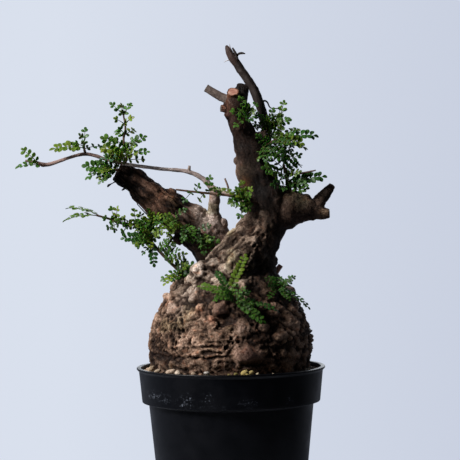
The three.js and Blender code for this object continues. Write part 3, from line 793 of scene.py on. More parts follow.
def limb_shares(points):
    """How much each point belongs to the caudex, the ridge, the trunk, the left branch and the
    right branch: shares that fall off as exp(-gap / 2), where gap is how far it lies outside each."""
    from_heart = (points - CAUDEX_HEART) / CAUDEX_REACH
    gaps = [
        60 * (np.linalg.norm(from_heart, axis=1) - 1),
        np.minimum(gap_to(points, RIDGE), gap_to(points, FLANK)),
        gap_to(points, TRUNK),
        np.minimum(gap_to(points, LEFT_BRANCH), gap_to(points, BRANCH_POST)),
        np.minimum(gap_to(points, RIGHT_BRANCH), gap_to(points, RIGHT_HORN)),
    ]
    pull = np.exp(-np.clip(np.stack(gaps), -20, 60) / 2.0)
    return pull / pull.sum(axis=0)


def domes(points, size, seed, reach):
    """Round knobs, one for each seeded middle: the height of a ball over it that has that reach, cut
    off by a seam where two knobs meet, and lower on some than on others."""
    near, second, number = cells(points, size, seed)
    ball = np.sqrt(np.clip(1 - (near / reach) ** 2, 0, 1))
    seam = step(0.0, 0.22, second - near)
    return ball * seam * (0.35 + 0.65 * number)


def fractal(points, size, seed, octaves=3):
    """Noises of that size and of each half below it, each half as strong as the one before. The
    points are turned between them, so that their grids don't line up."""
    total = np.zeros(points.shape[:-1])
    for octave in range(octaves):
        points = points @ OCTAVE_TURN
        total += noise(points, size / 2**octave, seed + 7 * octave) / 2**octave
    return total / (2 - 2 / 2**octaves)


def folds(points, size, seed):
    """Swollen folds with sharp valleys between them: 2.4 times the fractal noise without its sign,
    to the power 0.7, from 0 in the valleys to about 1."""
    return np.clip(2.4 * np.abs(fractal(points, size, seed)), 0, 1.15) ** 0.7


def front_patch(points, x, z, width, height):
    """1 round a place on the front, fading as exp(-(dx/width)^2 - (dz/height)^2), and 0 behind."""
    spread = ((points[:, 0] - x) / width) ** 2 + ((points[:, 2] - z) / height) ** 2
    return np.exp(-spread) * (points[:, 1] < 5)


def raise_knobs(points, relief, knobs, roundness, kept, groove_depth):
    """Sets listed knobs of x, z, half width, half height and rise into the relief on the front.

    Inside a knob's ragged oval the relief becomes rise * (1 - d^roundness) plus the kept share of
    what was there, and it drops by the groove's depth round it.
    """
    bent = warped(warped(points, 6.0, 1.7, 131), 2.6, 0.7, 137)
    for x, z, half_width, half_height, rise in knobs:
        away = np.hypot((bent[:, 0] - x) / half_width, (bent[:, 2] - z) / half_height)
        front = points[:, 1] < 8
        inside = (1 - step(0.8, 1.1, away)) * front
        cap = rise * (1 - np.clip(away, 0, 1) ** roundness) + kept * relief
        groove = groove_depth * np.exp(-(((away - 1.12) / 0.16) ** 2)) * front
        relief = relief * (1 - inside) + cap * inside - groove
    return relief


def wrinkles(points, gap):
    """Wavy level folds: a sine of the height, which noise bends and which rises by x^2 / 500 to the
    sides. Its power of 0.7 makes rounded lips of it, and a finer noise breaks them into beads."""
    bent = 3.2 * fractal(stretched(points, (0, 0, 1), 0.6), 9.0, 31)
    height = points[:, 2] + bent + points[:, 0] ** 2 / 500
    fold = np.sin(2 * np.pi * height / gap)
    beads = 0.75 + 0.25 * noise(points, 2.6, 33)
    return np.sign(fold) * np.abs(fold) ** 0.7 * beads


def pitted(points, seed):
    """A spongy crust: round pits of two sizes with thin raised walls between them."""
    near, second, number = cells(warped(points, 4.0, 0.8, seed), 3.6, seed + 3)
    pit = step(0.5, 0.22, near) * step(0.1, 0.3, number)
    wall = step(0.24, 0.0, second - near)
    return wall - 2.5 * pit + 0.8 * fractal(points, 4.0, seed + 5)


def caudex_relief(points):
    """The foot's bark, in millimetres.

    Broad lobes carry raised folds that lie level, and patches chosen by noise and by place are
    knobby, wrinkled, pitted or smooth instead. Listed knobs and hollows finish the front.
    """
    height = points[:, 2]
    bent = warped(points, 12.0, 3.2, 1)
    lobes = fractal(points, 27.0, 15, 2)
    crust = 3.0 * (folds(stretched(bent, (0, 0, 1), 0.62), 9.5, 3) - 0.55)
    swirled = warped(points, 16.0, 6.0, 141)
    stones = np.maximum(domes(swirled, 11.0, 5, 0.8), 0.75 * domes(bent, 6.0, 7, 0.8))
    knobby = 3.3 * (stones - 0.4) + 1.3 * (folds(bent, 4.2, 9) - 0.5)
    ragged = crust + 1.2 * (folds(warped(points, 5.0, 1.4, 11), 4.0, 13) - 0.5)
    upper = step(156, 176, height) * (0.35 + 0.65 * step(20, -15, points[:, 0]))
    share = np.clip(upper + 0.9 * step(0.15, 0.45, noise(points, 21.0, 17)), 0, 1)
    relief = 2.3 * lobes + ragged * (1 - share) + knobby * share
    low = step(168, 154, height)
    wave = 1.6 * wrinkles(points, 4.1) + 0.45 * ragged
    share = step(0.15, 0.45, noise(points, 23.0, 21)) * low * step(-30, 0, points[:, 1])
    share = share + front_patch(points, -14, 147, 13, 8) + 0.4 * front_patch(points, 26, 151, 12, 7)
    share = np.clip(1.2 * share, 0, 1)
    relief = relief * (1 - share) + (wave + 1.4 * lobes) * share
    share = step(0.22, 0.42, noise(points, 19.0, 51)) * 0.8
    share = share + front_patch(points, -45, 162, 11, 11) + front_patch(points, -54, 151, 8, 9)
    share = np.clip(1.25 * share, 0, 1) * (1 - 0.8 * step(172, 182, height))
    relief = relief * (1 - share) + (pitted(points, 41) + 0.5 * crust + 1.5 * lobes) * share
    relief = raise_knobs(points, relief, FRONT_KNOBS, 2.4, 0.55, 0.8)
    relief = raise_knobs(points, relief, SMOOTH_KNOBS, 2.0, 0.2, 0.2)
    for x, z, width, tall, depth in FRONT_HOLLOWS:
        relief = relief - depth * front_patch(points, x, z, width, tall)
    relief = relief + front_patch(points, 4, 154, 7, 13)
    relief = relief * (1 - 0.35 * step(142, 137, height))
    grit = 0.5 * (folds(warped(points, 3.0, 0.9, 63), 3.1, 65) - 0.5)
    knobs_only = step(166, 180, height) * 0.45
    return relief + grit * (1 - knobs_only) + 0.3 * fractal(points, 2.2, 61, 2)


def ridge_relief(points):
    """The ridge that climbs to the trunk: broad flat pale lumps low down, ropes along it higher up,
    and deep cracks with small pits between them."""
    along = (0.72, 0.2, 0.66)
    bent = warped(points, 8.0, 2.4, 71)
    plates = 3.0 * (domes(stretched(bent, along, 1.3), 10.5, 73, 0.95) - 0.42)
    ropes = 2.3 * (folds(stretched(bent, along, 2.4), 6.5, 75) - 0.55)
    low = step(226, 208, points[:, 2])
    near, _, number = cells(points, 4.4, 79)
    pits = step(0.42, 0.2, near) * step(0.45, 0.55, number)
    relief = plates * low + ropes * (1 - 0.6 * low) - 1.4 * pits
    relief = raise_knobs(points, relief, RIDGE_LUMPS, 5.0, 0.45, 0.5)
    return relief + 0.8 * (folds(points, 3.2, 77) - 0.5)


def trunk_relief(points):
    """Smooth bark over broad low swellings, with shallow grooves that run along the trunk, and a
    few rings and warts."""
    along = (-0.2, 0, 1)
    swell = 2.2 * fractal(stretched(points, along, 1.4), 17.0, 81, 2)
    grooves = 0.9 * (folds(warped(stretched(points, along, 2.6), 8.0, 1.6, 83), 6.0, 85) - 0.5)
    rings = 0.3 * fractal(points, 5.0, 87)
    warts = 0.9 * step(0.5, 0.8, noise(warped(points @ OCTAVE_TURN, 9.0, 2.5, 143), 5.5, 89))
    base = step(228, 205, points[:, 2])
    gnarls = 1.3 * (folds(warped(points, 8.0, 2.0, 91), 7.5, 93) - 0.5)
    return swell + grooves + rings + warts + base * gnarls + 0.3 * fractal(points, 2.0, 95, 2)


def left_relief(points):
    """Flaking bark: long ragged strips along the branch that lift at their ends, and deep pits
    between. Near the fork it is smoother, with folds across the branch."""
    along = (-0.76, -0.06, 0.65)
    bent = warped(stretched(points, along, 4.2), 6.0, 1.5, 97)
    strips = 1.8 * (folds(bent, 5.0, 99) - 0.4)
    lips = 0.7 * (folds(stretched(points, along, 3.4), 3.0, 101) - 0.5)
    tears = 0.8 * step(0.4, 0.75, noise(stretched(points, along, 3.4) @ OCTAVE_TURN, 5.5, 103))
    flaky = 1.2 * fractal(points, 14.0, 105, 2) + strips + lips - tears
    across = 0.4 * (folds(warped(stretched(points, along, 0.7), 10.0, 4.0, 145), 7.0, 107) - 0.5)
    soft = 1.1 + 1.1 * fractal(points, 13.0, 109, 2) + across + 0.9 * (folds(points, 6.0, 111) - 0.5)
    fork = step(-34, -20, points[:, 0])
    return flaky * (1 - fork) + soft * fork + 0.4 * fractal(points, 2.0, 113, 2)


def right_relief(points):
    """Fine smooth bark with soft swellings, dimples and shallow wrinkles round the branch."""
    swell = 1.5 * fractal(points, 14.0, 115, 2)
    dimples = 0.5 * (folds(warped(points, 6.0, 1.5, 117), 6.5, 119) - 0.5)
    fine = 0.35 * fractal(stretched(points, (1, 0, 0.1), 0.6), 3.4, 121)
    return swell + dimples + fine + 0.25 * fractal(points, 1.8, 123, 2)


# Colours of the bark for the caudex, ridge, trunk, left branch and right branch
LIMB_TINTS = np.array([
    (0.285, 0.19, 0.138), (0.44, 0.355, 0.29), (0.046, 0.028, 0.022), (0.09, 0.05, 0.035),
    (0.185, 0.122, 0.095),
])

# How strongly the relief darkens and lightens the bark of each of them, as painted shade in the
# hollows and painted light on the tops
LIMB_CONTRASTS = np.array([1.0, 1.0, 0.75, 1.15, 0.35])

# Places where the bark has a colour of its own, and places where light or shade is painted on it:
# x, y, z, width, strength and colour
BARK_AREAS = [
    (-25, -25, 212, 16, 0.7, (0.37, 0.32, 0.285)),
    # Pale bark on top of the fork, lightened further as painted light where it lies in shade
    (-18, 6, 251, 15, 1.0, (0.52, 0.43, 0.38)),
    # Painted shade on the right side of the branch post
    (-8, 8, 258, 8, 0.9, (0.2, 0.15, 0.125)),
    # Painted shadow below the fork
    (-8, 0, 220, 14, 0.85, (0.05, 0.032, 0.026)),
    (-23, 1, 221, 13, 0.85, (0.05, 0.032, 0.026)),
    (-34, 4, 233, 11, 0.6, (0.09, 0.055, 0.04)),
    # Painted light along the lit left edge of the trunk
    (1, -6, 313, 4.5, 0.7, (0.36, 0.25, 0.19)),
    (6, -4, 299, 5, 0.85, (0.44, 0.32, 0.25)),
    (9.5, -4, 287, 5, 0.85, (0.44, 0.32, 0.25)),
    (15.5, -4, 266, 5, 0.7, (0.36, 0.25, 0.19)),
    (14, -62, 144, 13, 0.9, (0.078, 0.037, 0.028)),
    (-14, -58, 156, 13, 0.45, (0.2, 0.13, 0.09)),
    (-7, -52, 179, 8, 0.85, (0.11, 0.062, 0.046)),
    (10, -58, 165, 8, 0.7, (0.12, 0.085, 0.07)),
    (-24, -46, 178, 4, 0.6, (0.36, 0.14, 0.08)),
    (-14, -54, 171, 3, 0.7, (0.4, 0.15, 0.08)),
    (-38, -40, 188, 14, 0.75, (0.29, 0.245, 0.22)),
    # Painted shade over the lit front of the right branch
    (52, -12, 256, 12, 0.6, (0.11, 0.072, 0.056)),
    # Painted shade on the front of the trunk's base
    (23, -22, 200, 19, 0.85, (0.07, 0.042, 0.03)),
    (26, -14, 234, 12, 0.6, (0.24, 0.16, 0.12)),
    (12, -13, 275, 3.8, 0.95, (0.5, 0.23, 0.145)),
    # Painted shadow below the red patch
    (15, -14, 268.5, 4.5, 0.6, (0.035, 0.02, 0.016)),
    (15, -12, 232, 9, 0.6, (0.46, 0.31, 0.24)),
    # Painted shade on the front of the upper trunk
    (8, -12, 318, 22, 0.95, (0.038, 0.018, 0.012)),
    (-3, -9, 334, 7, 0.8, (0.32, 0.14, 0.085)),
    (57, -9, 262, 6, 0.75, (0.3, 0.29, 0.2)),
    (47, -4, 264, 8, 0.45, (0.13, 0.14, 0.06)),
    # Painted shade on the horn at the end of the right branch
    (77, 1, 265, 9, 0.9, (0.03, 0.024, 0.02)),
    (11, -1, 350, 10, 1.0, (0.014, 0.009, 0.008)),
    # Painted shade on the right side of the trunk top
    (14, -3, 337, 7, 0.8, (0.04, 0.028, 0.02)),
    (-86, 7, 284, 10, 0.6, (0.07, 0.042, 0.03)),
    # Rusty upper edge of the left branch: partly its own reddish bark, partly painted light on the lit top
    (-50, 8, 268, 12, 0.5, (0.23, 0.12, 0.07)),
    (77, -2, 251, 6, 0.95, (0.5, 0.37, 0.26)),
    (-42, -40, 165, 13, 0.3, (0.2, 0.15, 0.12)),
    (28, -5, 313, 8, 0.7, (0.3, 0.22, 0.19)),
]


def bark_tint(points, shares):
    """The limbs' colours blended by their shares, pulled towards the listed areas' colours, some of them
    painted light and shade, by exp(-(distance / width)^2), mottled by two slow noises, darker
    towards the bottom, and greener in a few patches."""
    tint = shares.T @ LIMB_TINTS
    for x, y, z, width, strength, colour in BARK_AREAS:
        away = np.linalg.norm(points - np.array([x, y, z]), axis=1)
        pull = (strength * np.exp(-((away / width) ** 2)))[:, None]
        tint = tint * (1 - pull) + np.array(colour) * pull
    mottle = 1 + 0.22 * noise(points, 11.0, 111) + 0.16 * noise(points, 4.0, 113)
    # Darker towards the bottom, below 143 mm
    mottle = mottle * (1 - 0.35 * step(143, 137, points[:, 2]))
    moss = 0.4 * step(0.35, 0.7, noise(points, 15.0, 115))[:, None]
    tint = tint * mottle[:, None]
    return tint * (1 - moss) + tint * np.array([0.82, 1.0, 0.6]) * moss


def wood_body(bark):
    """The joined wood with its bark raised: each point moves along its own normal by the reliefs of
    the limbs that it belongs to, weighted by their shares. What the soil covers stays plain."""
    skin = joined_wood()
    count = len(skin.vertices)
    points = np.empty(count * 3, np.float32)
    normals = np.empty(count * 3, np.float32)
    skin.vertices.foreach_get("co", points)
    skin.vertices.foreach_get("normal", normals)
    points = points.reshape(-1, 3).astype(float) / MM
    normals = normals.reshape(-1, 3).astype(float)
    shares = limb_shares(points)
    relief = np.zeros(count)
    styles = (caudex_relief, ridge_relief, trunk_relief, left_relief, right_relief)
    for share, style in zip(shares, styles):
        used = share > LEAST_SHARE
        relief[used] += share[used] * style(points[used])
    bare = step(122, 128, points[:, 2])
    raised = points + (relief * bare)[:, None] * normals
    skin.vertices.foreach_set("co", (raised * MM).astype(np.float32).ravel())
    contrast = shares.T @ LIMB_CONTRASTS
    # How high each point stands in the relief, which the bark finish turns into painted shade in the hollows
    # and painted light on the tops
    height = np.clip(0.5 + 0.07 * (1 - contrast) + contrast * relief / PALING_RISE, 0, 1)
    values = np.column_stack([bark_tint(points, shares), height])
    piece = finish_piece(skin, "wood_body", [bark], None, values, None)
    trim = piece.modifiers.new("trim", "DECIMATE")
    triangles = sum(len(face.vertices) - 2 for face in skin.polygons)
    trim.ratio = min(1.0, WOOD_TRIANGLES / triangles)
    trimmed = finished_mesh(piece)
    piece.modifiers.clear()
    piece.data = trimmed
    place(piece, "bark", "wood")


# Thin wood: stubs, the dead stick, twigs, splinters and shreds of bark

POST_TWIG = [(-1, 13, 267, 1.1), (-0.5, 12, 272, 0.9), (-3, 12, 279.5, 0.75)]
CROSS_TWIG = [
    (-19, 11.5, 277.5, 2.2), (-12, 12, 271.5, 2.3), (-2, 10, 267.5, 1.9), (6, 7, 264, 1.9),
    (16, 3, 258, 2.4),
]
STICK_SPLINT = [
    (9, 20.5, 368, 2.0), (5.6, 20, 374, 3.0), (2.0, 20, 380.5, 2.7), (0.4, 20.5, 383.8, 2.1),
    (-0.8, 21, 386.2, 0.5),
]
STICK_FORK = [(8.2, 18, 375, 1.0), (6.8, 17.5, 379.5, 1.2), (4.4, 17.5, 384.2, 0.7)]
STICK_HOOK = [(6.4, 18, 376.2, 1.0), (9.4, 18, 379.4, 0.95), (12, 18, 379.8, 0.95), (14.6, 18, 379.2, 0.35)]
PALE_HAIR = [(3.5, 21, 374.6, 0.45), (0, 20, 374.2, 0.28), (-2.6, 20, 372.8, 0.16)]
PALE_SPLINTER = [(2.4, 19, 382, 0.7), (2.4, 19, 384.8, 0.45), (2.0, 19, 387.4, 0.15)]
LARGE_SHRED = [
    (-42, 14, 262, 0.9), (-45, 12, 268.5, 0.7), (-48.6, 12, 271.2, 0.6), (-53, 12, 270, 0.7),
    (-54.5, 13, 265, 0.9),
]
SMALL_SHRED = [(-33, 14, 257, 0.9), (-37, 13, 262.5, 0.6), (-41, 12, 264.4, 0.5), (-43, 12, 261, 0.8)]
BRANCH_BUD = [(-88, 6, 279, 0.6), (-93, 6, 276.5, 0.4), (-96, 5, 274.8, 1.0), (-96.6, 5, 273.6, 0.5)]
LOW_BUD = [(-80, 4, 275, 0.8), (-83.5, 2, 272, 0.9), (-85, 1, 271, 0.5)]
BUD_STEM = [(-63, 6, 249, 0.5), (-67, 3, 253, 0.45), (-73, 0, 260, 0.4)]
DARK_LEAF = [(-50, 3, 237, 0.8), (-46, -1, 232.5, 1.2), (-51, -3, 225, 0.5)]
DARK_TWIG = [(51, -3, 282, 0.6), (60, -6, 283, 0.9), (69, -8, 285, 0.5)]
ARC_STEM = [
    (27, 9, 329, 0.5), (29, 9, 341, 0.8), (31.5, 9, 340, 0.7), (34, 9, 335.5, 0.5), (41, 9, 334.6, 0.45),
]
TRUNK_NUB = [(3, -6, 334, 3.4), (-1.5, -8, 334.5, 3.2), (-5.5, -9, 334.8, 2.7)]

# The finishes that a thin limb's side and cut end may have, in the order that the piece lists them
THIN_FINISHES = ("bark", "cut", "old_cut", "twig")
BARKED, FRESH, OLD, SMOOTH = range(4)

# The thin limbs: path, height of the lumps, tint, and the finishes of the side and the cut end
FINE_LIMBS = [
    (PINK_STUB, 0.25, (0.22, 0.1, 0.055), BARKED, FRESH),
    (SIDE_STUB, 0.15, (0.2, 0.16, 0.138), SMOOTH, OLD),
    # The red stub's own pinkish colour, brightened as painted light where the trunk shades it
    (RED_STUB, 0.1, (0.95, 0.55, 0.45), SMOOTH, SMOOTH),
    (DEAD_STICK, 0.16, (0.026, 0.019, 0.017), SMOOTH, OLD),
    (LONG_TWIG[:5], 0.12, (0.42, 0.35, 0.325), SMOOTH, OLD),
    # Pale twig, brightened almost to white as painted light where the crown shades it
    (LONG_TWIG[4:8], 0.1, (0.95, 0.84, 0.79), SMOOTH, OLD),
    (LONG_TWIG[7:], 0.12, (0.3, 0.21, 0.185), SMOOTH, OLD),
    (TWIG_THORN, 0.1, (0.25, 0.2, 0.17), SMOOTH, OLD),
    (POST_TWIG, 0.05, (0.24, 0.17, 0.13), SMOOTH, OLD),
    (CROSS_TWIG, 0.15, (0.42, 0.33, 0.28), SMOOTH, OLD),
    (STICK_SPLINT, 0.3, (0.055, 0.035, 0.03), SMOOTH, OLD),
    (STICK_FORK, 0.05, (0.03, 0.024, 0.022), SMOOTH, OLD),
    (STICK_HOOK, 0.05, (0.035, 0.028, 0.025), SMOOTH, OLD),
    (PALE_HAIR, 0.0, (0.5, 0.45, 0.42), SMOOTH, OLD),
    (PALE_SPLINTER, 0.0, (0.4, 0.36, 0.36), SMOOTH, OLD),
    (LARGE_SHRED, 0.1, (0.05, 0.03, 0.022), SMOOTH, OLD),
    (SMALL_SHRED, 0.1, (0.08, 0.048, 0.034), SMOOTH, OLD),
    (BRANCH_BUD, 0.0, (0.015, 0.013, 0.012), SMOOTH, OLD),
    (LOW_BUD, 0.1, (0.03, 0.036, 0.018), SMOOTH, OLD),
    (BUD_STEM, 0.0, (0.03, 0.022, 0.018), SMOOTH, OLD),
    (DARK_LEAF, 0.0, (0.02, 0.02, 0.014), SMOOTH, OLD),
    (DARK_TWIG, 0.05, (0.1, 0.066, 0.05), SMOOTH, OLD),
    (ARC_STEM, 0.0, (0.025, 0.032, 0.012), SMOOTH, OLD),
    (TRUNK_NUB, 0.3, (0.3, 0.17, 0.13), BARKED, OLD),
]

# A thin limb with a radius above this has more points round it
STOUT_RADIUS = 2.5


def wood_values(rings, tint):
    """The point values of a limb: its tint, mottled, and how far each point stands out of its ring,
    which the bark finish turns into painted shade in the hollows and painted light on the tops.
    """
    count, sides = rings.shape[:2]
    middle = rings.mean(axis=1, keepdims=True)
    reach = np.linalg.norm(rings - middle, axis=-1)
    out = reach / reach.mean(axis=1, keepdims=True)
    values = np.empty((count, sides, 4))
    values[..., :3] = np.array(tint) * (1 + 0.2 * noise(rings, 5.0, 201))[..., None]
    values[..., 3] = np.clip(0.62 + 1.6 * (out - 1), 0, 1)
    return values.reshape(-1, 4)


def grained(rings, rows, depth, seed):
    """Moves a limb's points along their spokes by its grain: noise that is fine round the limb and
    slow along it, plus a noise of small lumps."""
    spoke = unit(rings - rows[:, None, :3])
    slow = np.zeros(rings.shape)
    slow[..., 2] = 0.3 * distances(rows)[:, None]
    push = noise(spoke * 2 * rows[:, 3].mean() + slow, 1.1, seed) + 0.6 * noise(rings, 2.4, seed + 1)
    return rings + depth * push[..., None] * spoke


def thin_wood(finishes):
    """Every thin limb as a grained tube, with a flat saw cut or a broken end.

    A fresh cut has a rim of bark: one more ring, drawn in to 0.84 of the last one.
    """
    mould = Mould()
    for number, (path, lumps, tint, side, cut) in enumerate(FINE_LIMBS):
        rows = smooth_path(path, 0.9)
        thick = rows[:, 3].max()
        sides = 24 if thick > STOUT_RADIUS else 9
        facing = (1.0, 0.0, 0.0) if path in (PINK_STUB, DEAD_STICK) else (0.0, 1.0, 0.0)
        rings = grained(tube(rows, sides, lumps, facing), rows, min(0.1 * thick, 0.4), 210 + number)
        if cut == FRESH:
            middle = rings[-1:].mean(axis=1, keepdims=True)
            rings = np.concatenate([rings, middle + 0.84 * (rings[-1:] - middle)])
        mould.add_rings(rings, cut, wood_values(rings, tint), side)
    piece = mould.mesh_piece("thin_wood", [finishes[name] for name in THIN_FINISHES], 50)
    place(piece, "bark", "wood")


# Leaves

# The leafy sprays. A shoot is a path of x, y, z and radius. A leaf is its place on the shoot (0 at
# the foot, 1 at the end), its tip x, y, z, the turn of its face in degrees from -Y towards +Z, and
# for some its age: below 0 is bluish, a painted sheen of the sky on a shiny leaf, 0 old and dark,
# and 1.3 young and yellow. Young is the least age of the other leaves, and scale shrinks the
# leaflets of the sprays that have it.
SPRAYS = {
    "twig_tip_spray": {
        "young": 0.25,
        "shoot": [(-144, -6, 292, 1), (-147, -9, 291, 0.9), (-150, -10.5, 293.5, 0.7)],
        "leaves": [(0.95, -164, -13, 306, 10), (0.5, -168.5, -14, 290.5, 65)],
    },
    "twig_bend_spray": {
        "young": 0.2,
        "shoot": [(-113, -4, 300, 1), (-114, -5, 304, 0.9), (-114, -5, 307, 0.7)],
        "leaves": [(0.9, -113, -3, 322, 5), (0.7, -141, -10, 304.5, 45), (0.6, -99, 2, 306.5, 40)],
    },
    "left_crown_spray": {
        "young": 0.5,
        "shoot": [
            (-83, 1, 292, 1.2), (-80.5, 0, 297, 1.1), (-83, -1, 311, 0.9), (-81.5, 0, 320, 0.8),
            (-83, 2, 331, 0.6),
        ],
        "leaves": [
            (0.98, -93.5, -2, 341, 25), (1, -85, 6, 341, 50), (0.97, -77, 7, 341, 30),
            (0.8, -90, -8, 328.5, 20), (0.82, -74.5, -7, 329, 30), (0.55, -91, 8, 319, 30),
            (0.58, -74, 9, 320, 10),
            (0.22, -101.5, -6, 314, 15, 0.9), (0.17, -103, 8, 305.5, 35, 1.3), (0.25, -71, 9, 312, 15),
            (0.3, -64, 2, 315, 20), (0.15, -61, -5, 302, 50), (0.08, -65, 8, 295.5, 25),
            # The last leaf here, of age -1, has a painted sheen of the sky
            (0.2, -80, -18, 305, 30), (0.28, -84, 20, 304, 40), (0.06, -101, -12, 297, 55, -1),
        ],
    },
    "left_crown_low_spray": {
        "young": 0.15,
        "shoot": [(-86, 4, 286, 1.2), (-88, -3, 287, 1.1), (-93, -5, 287.5, 0.8)],
        "leaves": [
            (0.7, -114.5, -4, 281, 60), (0.95, -116, -9, 291, 15), (0.9, -108, 6, 288, 35),
            (0.8, -99, -15, 284, 25), (0.7, -104, -10, 276, 40),
        ],
    },
    "long_left_spray": {
        "young": 0.3,
        "shoot": [
            (-58, 8, 250, 1.3), (-63.5, 3, 243.5, 1.2), (-72, 0, 243.7, 1.1), (-84, -4, 244.5, 1),
            (-95, -6, 248.5, 0.9), (-105, -8, 251.5, 0.7),
        ],
        "leaves": [
            (0.97, -131.5, -14, 248, 74, 0.95), (0.93, -130, -4, 258.5, 76, 0.95), (0.68, -88, -12, 259, 30),
            (0.62, -99, 4, 240, 30), (0.4, -76, 6, 257.5, 20), (0.3, -70, -14, 254, 35),
            (0.75, -90, -14, 238, 40), (0.35, -74, 14, 238, 40),
        ],
    },
    "left_shoulder_spray": {
        "young": 0.1,
        "scale": 0.88,
        "shoot": [
            (-34, -8, 199, 1.4), (-39.5, -8, 206, 1.3), (-49.5, -8, 216, 1.2), (-59, -6.5, 226.5, 1.1),
            (-64, -6, 234, 0.8),
        ],
        "leaves": [
            (0.97, -86.5, -12, 233, 25), (0.93, -78, 5, 229.5, 20), (0.9, -59.5, -10, 209.5, 0, 0.1),
            (0.98, -50, -14, 238, 30), (0.6, -46.5, -18, 226.5, 10), (0.45, -33, -16, 221, 15),
            (0.2, -55.5, -14, 199, 40), (0.15, -53, -23, 196.5, 60, 1.3), (0.25, -32.5, -24, 212, 20, 1.1),
            (0.8, -64, 5, 219, 30), (0.5, -33, 3, 215, 30), (0.97, -75, -14, 227, 20, 1.15),
            (0.95, -62, -16, 225, 20, 1.2), (0.9, -68, -17, 241, 15, 1.15),
        ],
    },
    "branch_front_spray": {
        "young": 0.1,
        "scale": 0.85,
        "shoot": [
            (-48, 8, 252, 1.2), (-44, -3, 250, 1.1), (-36, -6, 244, 1), (-26, -8, 238, 0.9),
            (-18, -8, 233, 0.7),
        ],
        "leaves": [
            (0.25, -58, -10, 246, 40), (0.3, -33, -9, 256, 30), (0.5, -50, -13, 236, 20),
            (0.65, -38, -15, 228.5, 15), (0.8, -14, -12, 243, 30), (0.95, -20, -12, 218, 5),
            (0.97, -7, -14, 228.5, 30),
        ],
    },
    "fork_spray": {
        "young": 0.3,
        "shoot": [(24, -8, 259, 1.4), (18, -17, 260, 1.3), (14, -19, 262, 1)],
        "leaves": [
            (1, 9.5, -20, 279, 5, 1.1), (0.95, -13, -19, 271.5, 75, 1.2), (0.85, -2, -23, 260, 20),
            (0.75, 6, -21, 247, 20),
        ],
    },
    "thin_twig_spray": {
        "young": 0.2,
        "shoot": [
            (22, -5, 263, 1.3), (9, -9, 264.5, 1.1), (-3, -8, 266.3, 1), (-16.5, -3, 267.8, 0.9),
            (-31, -2, 269.5, 0.8), (-42, -2, 271, 0.7),
        ],
        "leaves": [
            (0.6, -14.5, -6, 283, 10), (0.75, -23.5, -9, 275.5, 30), (0.8, -36.5, -8, 261, 20),
            (0.65, -24.5, 4, 261, 25),
        ],
    },
    "stick_foot_spray": {
        "young": 0.2,
        "shoot": [(30, 9, 315, 1.1), (32, 4, 319, 1.1), (38, 7, 321, 1), (41.5, 9, 326, 0.8)],
        "leaves": [
            (0.35, 36.5, 1, 336, 20), (0.25, 21, 0, 331, 25), (1, 45.5, 11, 342.5, 5, 0.95),
            (0.6, 42, 20, 333, 40), (0.5, 50, -2, 327, 30),
        ],
    },
    "trunk_right_spray": {
        "young": 0.12,
        "shoot": [(20, -2, 300, 1.3), (29, -9, 304, 1.2), (36, -8, 308.5, 1.1), (44, -6, 311, 0.9)],
        "leaves": [
            (0.95, 72, -6, 312.5, 45), (0.9, 58, 5, 319.5, 55), (0.75, 61, -14, 305.5, 40),
            (0.7, 64, 4, 302.5, 60), (0.4, 31.5, -16, 289, 10), (0.5, 44, -16, 292, 20),
            (0.3, 49, 6, 296, 20),
        ],
    },
    "right_branch_spray": {
        "young": 0.12,
        "shoot": [(47, 1, 264, 1.4), (47, 0, 274, 1.2), (45.5, -1, 284, 1.1), (43.5, -2, 290, 0.8)],
        "leaves": [
            (1, 59, -9, 299, 20), (0.85, 60, 8, 290, 40), (0.8, 33, 6, 296, 20), (0.4, 78.5, -5, 280.5, 35),
            (0.3, 60, -12, 268.5, 30), (0.65, 56, -14, 283, 30), (0.6, 26, -18, 288, 40),
            (0.3, 33, -16, 274, 20),
        ],
    },
    "caudex_front_spray": {
        "young": 0.15,
        "scale": 0.75,
        "shoot": [(5, -40, 181, 1.4), (4.5, -53, 184, 1.3), (2, -54, 188, 1.2), (-1, -51, 192, 0.9)],
        "leaves": [
            (0.8, -26, -46, 197, 45, 0.95), (1, -11, -45, 209, 20), (0.95, 13, -38, 221, 5, 1.1),
            (0.65, 27.5, -60, 168, 15), (0.6, 38, -54, 177, 60), (0.7, 16, -58, 193, 30),
        ],
    },
    "caudex_right_spray": {
        "young": 0.0,
        "scale": 0.72,
        "shoot": [(33, -20, 192, 1.3), (37, -29, 193, 1.2), (40, -32, 194, 0.8)],
        "leaves": [
            (0.9, 52, -28, 203, 5), (0.8, 47, -41, 184, 30), (0.6, 30, -40, 186, 20), (0.7, 34, -38, 203, 20),
            (0.8, 63, -37, 177, 65),
        ],
    },
    "trunk_top_spray": {
        "young": 0.0,
        "shoot": [(11, -6, 327, 1.2), (16, -13, 327.5, 1.1), (15.5, -16, 332, 0.8)],
        "leaves": [
            (0.6, 4, -20, 319.5, 25), (0.8, 1, -20, 332.5, 30), (1, 9, -19, 344, 15),
            (0.95, 24, -14, 339, 30),
        ],
    },
}

